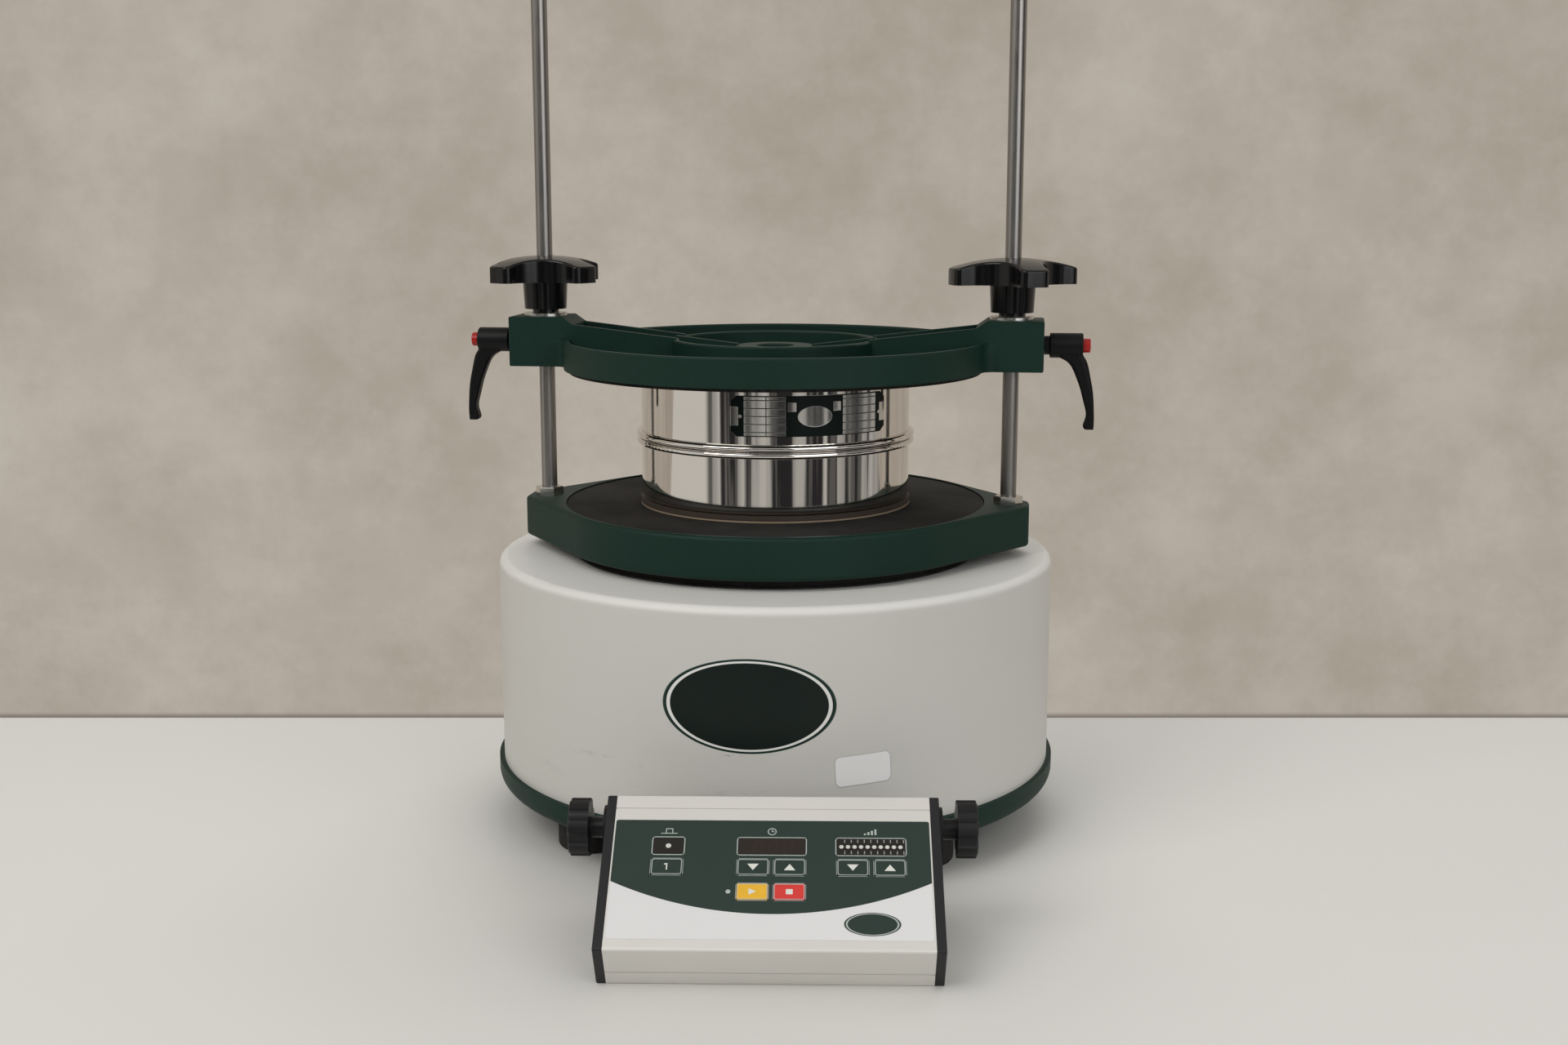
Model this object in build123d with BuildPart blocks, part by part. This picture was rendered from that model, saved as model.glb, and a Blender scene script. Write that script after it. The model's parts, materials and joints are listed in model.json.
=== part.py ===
from build123d import *
import os
from math import cos, radians, sin

os.makedirs("parts", exist_ok=True)

# All sizes are in millimetres, angles in degrees. +Z is up and -Y is the front.

# Clearances shared by all fits
RUN_GAP = 0.3
FIT_GAP = 0.1
SNUG_GAP = 0.05

# Heights of the stack, from the table upwards
FOOT_HEIGHT = 25
PAN_EDGE_HEIGHT = 21.5
DRUM_HEIGHT = 156
SEAL_HEIGHT = 7.5
PLATE_THICK = 31
RECESS_DEPTH = 3
MAT_THICK = 2
MAT_EDGE = 0.5
DISC_THICK = 4.8
PAN_HEIGHT = 46.2
SIEVE_HEIGHT = 48.7
BRIDGE_MAT_THICK = 2.5

SEAM_Z = FOOT_HEIGHT + PAN_EDGE_HEIGHT
DRUM_TOP_Z = SEAM_Z + DRUM_HEIGHT
PLATE_Z = DRUM_TOP_Z + SEAL_HEIGHT
PLATE_TOP_Z = PLATE_Z + PLATE_THICK
MAT_Z = PLATE_TOP_Z - RECESS_DEPTH
DISC_Z = MAT_Z + MAT_THICK
PAN_Z = DISC_Z + DISC_THICK
PAN_TOP_Z = PAN_Z + PAN_HEIGHT
SIEVE_Z = PAN_TOP_Z + RUN_GAP
BRIDGE_MAT_Z = SIEVE_Z + SIEVE_HEIGHT
BRIDGE_Z = BRIDGE_MAT_Z + BRIDGE_MAT_THICK

# Base pan, drum and feet
BASE_R = 215.3
BASE_FLARE = 22.3
BASE_CURVE_IN = 4
BASE_CURVE_UP = 6
BASE_CURVE_START = 1
BASE_FLOOR_THICK = 3
BASE_RIM_THICK = 8
BASE_RIM_HEIGHT = 8
DRUM_INSET = 3.8
DRUM_WALL = 2
DRUM_EDGE_R = 6.5
DRUM_OPENING_R = 135
FOOT_R = 25
FOOT_EDGE_R = 4
FOOT_COUNT = 4
FOOT_TURN = 45
FOOT_RING_R = 170
FOOT_SCREW_R = 3
FOOT_SCREW_HEAD_R = 6.5
FOOT_SCREW_HEAD_HEIGHT = 4
FOOT_RECESS_R = 9
FOOT_RECESS_DEPTH = 12
FOOT_SCREW_END = 6
SEAL_R = 153
SEAL_THICK = 8
SEAL_GROOVE_R = 2.4

BASE_FLOOR_R = BASE_R - BASE_FLARE
DRUM_R = BASE_R - DRUM_INSET

# Drive inside the drum
WEIGHT_R = 120
WEIGHT_THICK = 40
WEIGHT_EDGE = 3
TOWER_R = 18
TOWER_HEIGHT = 60
TOWER_RING_R = 95
TOWER_COUNT = 6
TOWER_TURN = 30
BUFFER_R = 17
BUFFER_WAIST = 2.5
HEAD_R = 125
HEAD_THICK = 22
HEAD_EDGE = 2
COLUMN_R = 20
CORE_WIDTH = 90
CORE_DEPTH = 45
CORE_LEG = 15
COIL_TOP_GAP = 2
COIL_CORNER_R = 8
ARMATURE_CORNER_R = 3
AIR_GAP = 2.5
ARMATURE_THICK = 15

# Sieve plate, rods and nuts
PLATE_R = 165
PLATE_HALF_SPAN = 194
PLATE_END_WIDTH = 34
PLATE_CORNER_R = 8
PLATE_EDGE_R = 3
MAT_R = 160
ROD_R = 6
ROD_X = 178
ROD_SEAT_DEPTH = 26
ROD_ABOVE_PLATE = 500
ROD_CHAMFER = 1.5
NUT_FLATS = 19
NUT_THICK = 6
NUT_CHAMFER = 0.8

# Disc, pan, sieve and label
DISC_R = 103
DISC_GROOVE = 0.6
STACK_R = 102
STACK_WALL = 1
BEAD_R = 2.4
BEAD_OUT = 1.5
TOP_BEAD_R = 1.5
PAN_CORNER_R = 4
SPIGOT_GAP = 0.6
SPIGOT_LENGTH = 14
MESH_THICK = 0.4
LABEL_WIDTH = 115.6
LABEL_HEIGHT = 29.2
LABEL_RISE = 11
LABEL_CLIP = 4
LABEL_THICK = 0.8
LABEL_TURN = 23.7
RIVET_R = 2
RIVET_SHANK_R = 1.2
RIVET_HEAD = 0.8
RIVET_SPACING = 104

# Clamp bridge
RIM_R = 160
RIM_WALL = 5
RIM_HEIGHT = 21
RING_R = 78
RING_WALL = 5
RING_HEIGHT = 21.5
BOSS_R = 30
BOSS_BORE_R = 14
BOSS_HEIGHT = 16.5
BRIDGE_FLOOR = 4.5
BRIDGE_EDGE_R = 1.4
BLOCK_IN_X = 152
BLOCK_OUT_X = 202
BLOCK_WIDTH = 44
BLOCK_HEIGHT = 37.5
BLOCK_SLOPE_X = 8
BLOCK_SLOPE_Z = 5.6
BLOCK_EDGE_R = 1.5
BLOCK_ROOT_R = 9
RIB_THICK = 5
RIB_CENTRE_HEIGHT = 14.1
RIB_RISE = 0.117
RIB_ROOT = 2
BRIDGE_MAT_R = 156
WASHER_R = 16.5
WASHER_THICK = 2.5
WASHER_EDGE = 0.4

# Cross knobs on the rods
KNOB_NECK_R = 10
KNOB_NECK = 2.5
KNOB_HUB_LOW_R = 16
KNOB_HUB_TOP_R = 17
KNOB_HUB_HEIGHT = 20.7
KNOB_R = 48.5
KNOB_TIP_HEIGHT = 12
KNOB_DOME_HEIGHT = 19.5
KNOB_BELLY_R = 30
KNOB_DOME_BELLY = 0.62
KNOB_LOBES = 4
KNOB_VALLEY_R = 28
KNOB_VALLEY_REACH = 54.5
KNOB_TIP_R = 5
KNOB_EDGE_R = 2
# An edge that climbs less than this share of its run is one of the star's top edges
KNOB_LEVEL = 0.8
KNOB_TURN = {"left": 56, "right": 21}

# Levers on the blocks
LEVER_RISE = 18.5
COLLAR_R = 7
COLLAR_LENGTH = 4
STUD_R = 4
STUD_IN_LEVER = 8
LEVER_HUB_R = 9.25
LEVER_HUB_LENGTH = 24.6
LEVER_HUB_EDGE_R = 1
BUTTON_R = 5.25
BUTTON_OUT = 5.5
BUTTON_TRAVEL = 2.5
BUTTON_IN_HUB = 7
BUTTON_EDGE_R = 0.9
# Sections of the lever arm: drop below the hub axis, inner and outer edge, width
LEVER_SECTIONS = (
    (4.0, 6.0, 24.4, 12.6),
    (9.2, 8.0, 26.2, 12.4),
    (12.0, 13.0, 27.8, 12.2),
    (17.5, 17.3, 29.4, 12.0),
    (27.4, 21.5, 31.5, 11.6),
    (41.0, 25.6, 33.4, 11.0),
    (52.0, 28.0, 34.0, 10.4),
    (58.5, 26.2, 34.1, 10.2),
    (62.4, 27.6, 33.9, 9.0),
)
LEVER_CORNER = 0.3
LEVER_Z = BRIDGE_Z + LEVER_RISE

# Rear connector plate on the drum
PANEL_WIDTH = 124
PANEL_HEIGHT = 60
PANEL_THICK = 2.5
PANEL_CORNER_R = 4
PANEL_Z = 95
WINDOW_WIDTH = 112
WINDOW_HEIGHT = 50
INLET_X = -34
INLET_WIDTH = 30
INLET_HEIGHT = 23
INLET_FLANGE = 2.5
INLET_STEP = 1
INLET_CORNER_R = 2
INLET_KEY = 4
INLET_DEPTH = 18
INLET_CAVITY_WIDTH = 24.5
INLET_CAVITY_HEIGHT = 16.5
INLET_CAVITY_DEPTH = 15
PIN_WIDTH = 2
PIN_HEIGHT = 4.2
PIN_LENGTH = 11
PIN_SIDE = 7
PIN_RISE = 2
ROCKER_X = 4
ROCKER_WIDTH = 14
ROCKER_HEIGHT = 21
ROCKER_FRAME_WALL = 2.6
ROCKER_FRAME_OUT = 1.6
ROCKER_FRAME_R = 1.5
ROCKER_DEPTH = 12
ROCKER_TILT = 12
ROCKER_PIVOT_DEPTH = 2
ROCKER_END_OUT = 6.2
ROCKER_MIDDLE_OUT = 4
ROCKER_END_IN = 1
ROCKER_MIDDLE_IN = 5
ROCKER_SIDE_GAP = 0.4
ROCKER_SWING_GAP = 1
ROCKER_PIN_R = 1.5
ROCKER_PIN_OUT = 0.8
SOCKET_X = 37
SOCKET_R = 11
SOCKET_FLANGE = 2.2
SOCKET_BODY_R = 8.5
SOCKET_CAVITY_R = 6.5
SOCKET_DEPTH = 12
SOCKET_CAVITY_DEPTH = 8
SOCKET_PIN_R = 0.8
SOCKET_PIN_RING_R = 3.6
SOCKET_PIN_COUNT = 5
SOCKET_PIN_LENGTH = 4
PANEL_SCREW_R = 1.6
PANEL_SCREW_HEAD_R = 3
PANEL_SCREW_HEAD = 1.8
PANEL_SCREW_LENGTH = 7.5
PANEL_SCREW_EDGE_R = 0.8
PANEL_SCREW_SLOT = (2.8, 0.7)
PANEL_SCREW_X = 104
PANEL_SCREW_Y = 40

# Control unit and its stand
UNIT_X = 34.3
UNIT_Y = -267.5
UNIT_YAW = 6.25
UNIT_TILT = 32.2
UNIT_WIDTH = 200
UNIT_DEPTH = 118
UNIT_THICK = 36
UNIT_WALL = 2
UNIT_CORNER_R = 1.6
UNIT_BEHIND_AXIS = 12
CAP_THICK = 6.15
CAP_EDGE_R = 0.9
CAP_LIP = 3
CAP_LIP_WALL = 1.5
GROOVE_WIDTH = 1.2
GROOVE_DEPTH = 0.6
GROOVE_UP = 106.8
GROOVE_FRONT = -5.4
UNIT_SOCKET_X = -40
FOIL_MARGIN = 1
FOIL_CORNER_R = 1.5
FOIL_LOW = 7.8
FOIL_HIGH = 97.5
FOIL_THICK = 0.3
KEY_WIDTH = 19.2
KEY_HEIGHT = 12
KEY_THICK = 1.3
KEY_OUT = 0.3
KEY_TRAVEL = 0.4
KEY_CORNER_R = 1.2
ROW_HIGH = 61.2
ROW_LOW = 42.7
KEYS = {
    "key_interval": (-65, ROW_HIGH),
    "key_time_down": (-11.4, ROW_HIGH),
    "key_time_up": (11.4, ROW_HIGH),
    "key_power_down": (50.5, ROW_HIGH),
    "key_power_up": (73.6, ROW_HIGH),
    "key_start": (-11.4, ROW_LOW),
    "key_stop": (11.4, ROW_LOW),
}
VIEW_HEIGHT = 12.5
VIEW_UP = 77.3
VIEW_THICK = 1.3
# Centre and width of each display window
VIEWS = ((-64.8, 19), (0, 42), (62, 42.7))
BOARD_LOW = 12
BOARD_HIGH = 94
BOARD_THICK = 1.6
BOARD_DROP = 7
DISPLAY_MARGIN = 1
SWITCH_R = 3
STAND_THICK = 2
STAND_PAD = 1.5
STAND_PAD_R = 6
STAND_FRONT = 18
STAND_REAR = 30
STAND_TOP_R = 14
SIDE_KNOB_R = 18.5
SIDE_KNOB_THICK = 13
SIDE_KNOB_NECK_R = 6.75
SIDE_KNOB_NECK = 9
SIDE_KNOB_FLUTES = 7
SIDE_KNOB_FLUTE_R = 7
SIDE_KNOB_FLUTE_DEPTH = 2
SIDE_KNOB_EDGE_R = 1.2
SIDE_STUD_R = 3
SIDE_STUD_LENGTH = 9

# The unit rests on its rounded lower front edge, which sets the height of its tilt axis
TILT_SIN = sin(radians(UNIT_TILT))
TILT_COS = cos(radians(UNIT_TILT))
UNIT_AHEAD = UNIT_DEPTH - UNIT_BEHIND_AXIS
UNIT_HALF = UNIT_THICK / 2
UNIT_END = UNIT_WIDTH / 2 + CAP_THICK
AXIS_Z = (UNIT_AHEAD * TILT_SIN + UNIT_HALF * TILT_COS
          - UNIT_CORNER_R * (TILT_SIN + TILT_COS - 1))

# The origin is under the middle of the whole machine, so the drum stands behind it
FRONT_REACH = (-UNIT_Y + UNIT_END * sin(radians(UNIT_YAW))
               + (UNIT_AHEAD * TILT_COS + UNIT_HALF * TILT_SIN) * cos(radians(UNIT_YAW)))
DRUM_Y = (FRONT_REACH - BASE_R) / 2

CENTRE = Axis((0, DRUM_Y, 0), (0, 0, 1))
SECTION = Plane(origin=(0, DRUM_Y, 0), x_dir=(1, 0, 0), z_dir=(0, -1, 0))


def level(z):
    """Horizontal plane on the drum axis, at height z."""
    return Plane(origin=(0, DRUM_Y, z))


def rod_level(side, z):
    """Horizontal plane on the axis of one rod."""
    return Plane(origin=(side * ROD_X, DRUM_Y, z))


def across(side, x, z):
    """Plane facing outwards along X on one side, at distance x from the drum axis."""
    return Plane(origin=(side * x, DRUM_Y, z), x_dir=(0, side, 0), z_dir=(side, 0, 0))


def save(piece, name):
    piece.label = name
    export_step(piece, f"parts/{name}.step")


# Base pan: a dished casting with a heavy rim that the drum stands on
with BuildPart() as base_pan:
    rim_in_r = BASE_R - BASE_RIM_THICK
    floor_top_z = FOOT_HEIGHT + BASE_FLOOR_THICK
    with BuildSketch(SECTION):
        with BuildLine():
            Line((0, FOOT_HEIGHT), (BASE_FLOOR_R, FOOT_HEIGHT))
            Bezier(
                (BASE_FLOOR_R, FOOT_HEIGHT),
                (BASE_R - BASE_CURVE_IN, FOOT_HEIGHT + BASE_CURVE_START),
                (BASE_R, FOOT_HEIGHT + BASE_CURVE_UP),
                (BASE_R, SEAM_Z - BASE_RIM_HEIGHT),
            )
            Polyline(
                (BASE_R, SEAM_Z - BASE_RIM_HEIGHT),
                (BASE_R, SEAM_Z),
                (rim_in_r, SEAM_Z),
                (rim_in_r, SEAM_Z - BASE_RIM_HEIGHT),
                (BASE_FLOOR_R, floor_top_z),
                (0, floor_top_z),
                (0, FOOT_HEIGHT),
            )
        make_face()
    revolve(axis=CENTRE)
    with Locations(level(floor_top_z)):
        with PolarLocations(FOOT_RING_R, FOOT_COUNT, start_angle=FOOT_TURN):
            Hole(FOOT_SCREW_R + FIT_GAP)
save(base_pan.part, "base_pan")

# Feet: rubber cylinders with a rounded lower edge and a recess for the screw
with BuildPart() as rubber_feet:
    with Locations(level(0)):
        with PolarLocations(FOOT_RING_R, FOOT_COUNT, start_angle=FOOT_TURN):
            Cylinder(FOOT_R, FOOT_HEIGHT, align=(Align.CENTER, Align.CENTER, Align.MIN))
    fillet(rubber_feet.edges().group_by(Axis.Z)[0], FOOT_EDGE_R)
    with Locations(level(0)):
        with PolarLocations(FOOT_RING_R, FOOT_COUNT, start_angle=FOOT_TURN):
            Cylinder(FOOT_RECESS_R, FOOT_RECESS_DEPTH,
                     align=(Align.CENTER, Align.CENTER, Align.MIN), mode=Mode.SUBTRACT)
            Cylinder(FOOT_SCREW_R + FIT_GAP, FOOT_HEIGHT,
                     align=(Align.CENTER, Align.CENTER, Align.MIN), mode=Mode.SUBTRACT)
save(rubber_feet.part, "rubber_feet")

with BuildPart() as foot_screws:
    screw_z = FOOT_RECESS_DEPTH - FOOT_SCREW_HEAD_HEIGHT
    with Locations(level(screw_z)):
        with PolarLocations(FOOT_RING_R, FOOT_COUNT, start_angle=FOOT_TURN):
            Cylinder(FOOT_SCREW_HEAD_R, FOOT_SCREW_HEAD_HEIGHT,
                     align=(Align.CENTER, Align.CENTER, Align.MIN))
            Cylinder(FOOT_SCREW_R, floor_top_z + FOOT_SCREW_END - screw_z,
                     align=(Align.CENTER, Align.CENTER, Align.MIN))
    with BuildSketch(level(screw_z)):
        with PolarLocations(FOOT_RING_R, FOOT_COUNT, start_angle=FOOT_TURN):
            RegularPolygon(FOOT_SCREW_R, 6)
    extrude(amount=FOOT_SCREW_HEAD_HEIGHT / 2, mode=Mode.SUBTRACT)
save(foot_screws.part, "foot_screws")

# Drum: a shell with a rounded top edge, a round opening and a window at the rear
with BuildPart() as housing_drum:
    with BuildSketch(level(SEAM_Z)):
        Circle(DRUM_R)
    extrude(amount=DRUM_HEIGHT)
    fillet(housing_drum.edges().group_by(Axis.Z)[-1], DRUM_EDGE_R)
    offset(amount=-DRUM_WALL, openings=housing_drum.faces().sort_by(Axis.Z)[0])
    with BuildSketch(level(DRUM_TOP_Z)):
        Circle(DRUM_OPENING_R)
    extrude(amount=-2 * DRUM_WALL, mode=Mode.SUBTRACT)
    rear = Plane(origin=(0, DRUM_Y + DRUM_R, PANEL_Z), x_dir=(-1, 0, 0), z_dir=(0, 1, 0))
    with BuildSketch(rear):
        RectangleRounded(WINDOW_WIDTH, WINDOW_HEIGHT, PANEL_CORNER_R)
    extrude(amount=-DRUM_R / 3, mode=Mode.SUBTRACT)
save(housing_drum.part, "housing_drum")

# Seal: a rubber ring with one fold, between the drum and the sieve plate
with BuildPart() as drum_seal:
    with BuildSketch(SECTION):
        with Locations((SEAL_R - SEAL_THICK / 2, DRUM_TOP_Z + SEAL_HEIGHT / 2)):
            Rectangle(SEAL_THICK, SEAL_HEIGHT)
        with Locations((SEAL_R, DRUM_TOP_Z + SEAL_HEIGHT / 2)):
            Circle(SEAL_GROOVE_R, mode=Mode.SUBTRACT)
    revolve(axis=CENTRE)
save(drum_seal.part, "drum_seal")

# Counterweight: a heavy casting with six towers that carry the spring buffers
weight_z = floor_top_z
weight_top_z = weight_z + WEIGHT_THICK
tower_top_z = weight_top_z + TOWER_HEIGHT
head_z = PLATE_Z - HEAD_THICK
with BuildPart() as counterweight:
    with BuildSketch(level(weight_z)):
        Circle(WEIGHT_R)
    extrude(amount=WEIGHT_THICK)
    chamfer(counterweight.edges().group_by(Axis.Z)[-1], WEIGHT_EDGE)
    with BuildSketch(level(weight_top_z)):
        with PolarLocations(TOWER_RING_R, TOWER_COUNT, start_angle=TOWER_TURN):
            Circle(TOWER_R)
    extrude(amount=TOWER_HEIGHT)
save(counterweight.part, "counterweight")

with BuildPart() as spring_buffers:
    buffer_height = head_z - tower_top_z
    with BuildSketch(level(tower_top_z)):
        with PolarLocations(TOWER_RING_R, TOWER_COUNT, start_angle=TOWER_TURN):
            Circle(BUFFER_R)
    extrude(amount=buffer_height)
    with BuildSketch(level(tower_top_z + buffer_height / 4)):
        with PolarLocations(TOWER_RING_R, TOWER_COUNT, start_angle=TOWER_TURN):
            Circle(BUFFER_R)
            Circle(BUFFER_R - BUFFER_WAIST, mode=Mode.SUBTRACT)
    extrude(amount=buffer_height / 2, mode=Mode.SUBTRACT)
save(spring_buffers.part, "spring_buffers")

# Electromagnet: an E-shaped core with its coil on the middle leg
core_height = TOWER_HEIGHT
with BuildPart() as magnet_core:
    with BuildSketch(SECTION):
        with Locations((0, weight_top_z + core_height / 2)):
            Rectangle(CORE_WIDTH, core_height)
        with Locations((0, weight_top_z + CORE_LEG + (core_height - CORE_LEG) / 2)):
            with GridLocations(3 * CORE_LEG, 0, 2, 1):
                Rectangle(CORE_LEG, core_height - CORE_LEG, mode=Mode.SUBTRACT)
    extrude(amount=CORE_DEPTH / 2, both=True)
save(magnet_core.part, "magnet_core")

with BuildPart() as magnet_coil:
    coil_build = CORE_LEG - 2 * RUN_GAP
    bore_width = 2 * CORE_LEG + 2 * RUN_GAP
    bore_depth = CORE_DEPTH + 2 * RUN_GAP
    with BuildSketch(level(weight_top_z + CORE_LEG)):
        RectangleRounded(bore_width + 2 * coil_build - 2 * RUN_GAP,
                         bore_depth + 2 * coil_build, COIL_CORNER_R)
        Rectangle(bore_width, bore_depth, mode=Mode.SUBTRACT)
    extrude(amount=core_height - CORE_LEG - COIL_TOP_GAP)
save(magnet_coil.part, "magnet_coil")

# Armature and moving head, which carry the sieve plate on the spring buffers
armature_z = tower_top_z + AIR_GAP
with BuildPart() as armature:
    with BuildSketch(level(armature_z)):
        RectangleRounded(CORE_WIDTH, CORE_DEPTH, ARMATURE_CORNER_R)
    extrude(amount=ARMATURE_THICK)
save(armature.part, "armature")

with BuildPart() as drive_head:
    with BuildSketch(level(armature_z + ARMATURE_THICK)):
        Circle(COLUMN_R)
    extrude(amount=head_z - armature_z - ARMATURE_THICK)
    with BuildSketch(level(head_z)):
        Circle(HEAD_R)
    extrude(amount=HEAD_THICK)
    chamfer(drive_head.edges().group_by(Axis.Z)[-1], HEAD_EDGE)
save(drive_head.part, "drive_head")

# Connector plate at the rear of the drum, set back behind the window
plate_face_y = ((DRUM_R - DRUM_WALL) ** 2 - (PANEL_WIDTH / 2) ** 2) ** 0.5 - RUN_GAP
PANEL_FACE = Plane(origin=(0, DRUM_Y + plate_face_y, PANEL_Z),
                   x_dir=(-1, 0, 0), z_dir=(0, 1, 0))
rocker_hole_width = ROCKER_WIDTH + 2 * ROCKER_SIDE_GAP
rocker_hole_height = ROCKER_HEIGHT + 2 * ROCKER_SIDE_GAP + 2 * ROCKER_SWING_GAP
inlet_hole_width = INLET_WIDTH - 2 * INLET_STEP
inlet_hole_height = INLET_HEIGHT - 2 * INLET_STEP
with BuildPart() as connector_plate:
    with BuildSketch(PANEL_FACE):
        RectangleRounded(PANEL_WIDTH, PANEL_HEIGHT, PANEL_CORNER_R)
        with Locations((INLET_X, 0)):
            Rectangle(inlet_hole_width, inlet_hole_height, mode=Mode.SUBTRACT)
        with Locations((ROCKER_X, 0)):
            Rectangle(rocker_hole_width + ROCKER_FRAME_WALL,
                      rocker_hole_height + ROCKER_FRAME_WALL, mode=Mode.SUBTRACT)
        with Locations((SOCKET_X, 0)):
            Circle(SOCKET_BODY_R + FIT_GAP, mode=Mode.SUBTRACT)
        with GridLocations(PANEL_SCREW_X, PANEL_SCREW_Y, 2, 2):
            Circle(PANEL_SCREW_R + FIT_GAP, mode=Mode.SUBTRACT)
    extrude(amount=-PANEL_THICK)
save(connector_plate.part, "connector_plate")

with BuildPart() as panel_screws:
    with BuildSketch(PANEL_FACE):
        with GridLocations(PANEL_SCREW_X, PANEL_SCREW_Y, 2, 2):
            Circle(PANEL_SCREW_HEAD_R)
    extrude(amount=PANEL_SCREW_HEAD)
    fillet(panel_screws.edges().group_by(Axis.Y)[-1], PANEL_SCREW_EDGE_R)
    with BuildSketch(PANEL_FACE):
        with GridLocations(PANEL_SCREW_X, PANEL_SCREW_Y, 2, 2):
            Circle(PANEL_SCREW_R)
    extrude(amount=-PANEL_SCREW_LENGTH)
    with BuildSketch(PANEL_FACE.offset(PANEL_SCREW_HEAD)):
        with GridLocations(PANEL_SCREW_X, PANEL_SCREW_Y, 2, 2):
            Rectangle(*PANEL_SCREW_SLOT)
            Rectangle(*reversed(PANEL_SCREW_SLOT))
    extrude(amount=-PANEL_SCREW_HEAD / 2, mode=Mode.SUBTRACT)
save(panel_screws.part, "panel_screws")

with BuildPart() as mains_inlet:
    with BuildSketch(PANEL_FACE):
        with Locations((INLET_X, 0)):
            RectangleRounded(INLET_WIDTH, INLET_HEIGHT, INLET_CORNER_R)
    extrude(amount=INLET_FLANGE)
    with BuildSketch(PANEL_FACE):
        with Locations((INLET_X, 0)):
            Rectangle(inlet_hole_width - 2 * FIT_GAP, inlet_hole_height - 2 * FIT_GAP)
    extrude(amount=-INLET_DEPTH)
    with BuildSketch(PANEL_FACE.offset(INLET_FLANGE)):
        with Locations((INLET_X, 0)):
            outline = Rectangle(INLET_CAVITY_WIDTH, INLET_CAVITY_HEIGHT)
        chamfer(outline.vertices().group_by(Axis.Y)[0], INLET_KEY)
    extrude(amount=-INLET_CAVITY_DEPTH, mode=Mode.SUBTRACT)
save(mains_inlet.part, "mains_inlet")

with BuildPart() as inlet_pins:
    with BuildSketch(PANEL_FACE.offset(INLET_FLANGE - INLET_CAVITY_DEPTH)):
        with Locations((INLET_X - PIN_SIDE, PIN_RISE), (INLET_X + PIN_SIDE, PIN_RISE),
                       (INLET_X, -PIN_RISE)):
            Rectangle(PIN_WIDTH, PIN_HEIGHT)
    extrude(amount=PIN_LENGTH)
save(inlet_pins.part, "inlet_pins")

ROCKER_PIVOT = Plane(
    origin=PANEL_FACE.from_local_coords((ROCKER_X, 0, -ROCKER_PIVOT_DEPTH)),
    x_dir=(0, 0, 1), z_dir=(1, 0, 0),
)
with BuildPart() as rocker_frame:
    with BuildSketch(PANEL_FACE):
        with Locations((ROCKER_X, 0)):
            RectangleRounded(rocker_hole_width + 2 * ROCKER_FRAME_WALL,
                             rocker_hole_height + 2 * ROCKER_FRAME_WALL, ROCKER_FRAME_R)
    extrude(amount=ROCKER_FRAME_OUT)
    with BuildSketch(PANEL_FACE):
        with Locations((ROCKER_X, 0)):
            Rectangle(rocker_hole_width + ROCKER_FRAME_WALL - 2 * FIT_GAP,
                      rocker_hole_height + ROCKER_FRAME_WALL - 2 * FIT_GAP)
    extrude(amount=-ROCKER_DEPTH)
    with BuildSketch(PANEL_FACE.offset(ROCKER_FRAME_OUT)):
        with Locations((ROCKER_X, 0)):
            Rectangle(rocker_hole_width, rocker_hole_height)
    extrude(amount=-ROCKER_DEPTH, mode=Mode.SUBTRACT)
    with BuildSketch(ROCKER_PIVOT):
        Circle(ROCKER_PIN_R + FIT_GAP)
    extrude(amount=rocker_hole_width, both=True, mode=Mode.SUBTRACT)
save(rocker_frame.part, "rocker_frame")

# Mains rocker on its two pivot pins, stored with its lower half pressed in
with BuildPart() as power_rocker:
    with BuildSketch(ROCKER_PIVOT.rotated((-ROCKER_TILT, 0, 0))):
        with BuildLine():
            Polyline(
                (-ROCKER_HEIGHT / 2, ROCKER_END_IN),
                (-ROCKER_HEIGHT / 2, -ROCKER_END_OUT),
                (0, -ROCKER_MIDDLE_OUT),
                (ROCKER_HEIGHT / 2, -ROCKER_END_OUT),
                (ROCKER_HEIGHT / 2, ROCKER_END_IN),
                (0, ROCKER_MIDDLE_IN),
                close=True,
            )
        make_face()
    extrude(amount=ROCKER_WIDTH / 2, both=True)
    with BuildSketch(ROCKER_PIVOT):
        Circle(ROCKER_PIN_R)
    extrude(amount=rocker_hole_width / 2 + ROCKER_PIN_OUT, both=True)
save(power_rocker.part, "power_rocker")


def round_socket(face):
    """Flanged round socket with moulded-in pins; its mouth opens along the normal."""
    with BuildPart() as socket:
        with BuildSketch(face):
            Circle(SOCKET_R)
        extrude(amount=SOCKET_FLANGE)
        with BuildSketch(face):
            Circle(SOCKET_BODY_R)
        extrude(amount=-SOCKET_DEPTH)
        with BuildSketch(face.offset(SOCKET_FLANGE)):
            Circle(SOCKET_CAVITY_R)
        extrude(amount=-SOCKET_CAVITY_DEPTH, mode=Mode.SUBTRACT)
        with BuildSketch(face.offset(SOCKET_FLANGE - SOCKET_CAVITY_DEPTH)):
            with PolarLocations(SOCKET_PIN_RING_R, SOCKET_PIN_COUNT, start_angle=90):
                Circle(SOCKET_PIN_R)
        extrude(amount=SOCKET_PIN_LENGTH)
    return socket.part


SOCKET_FACE = Plane(origin=PANEL_FACE.from_local_coords((SOCKET_X, 0, 0)),
                    x_dir=(-1, 0, 0), z_dir=(0, 1, 0))
save(round_socket(SOCKET_FACE), "control_socket")

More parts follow.
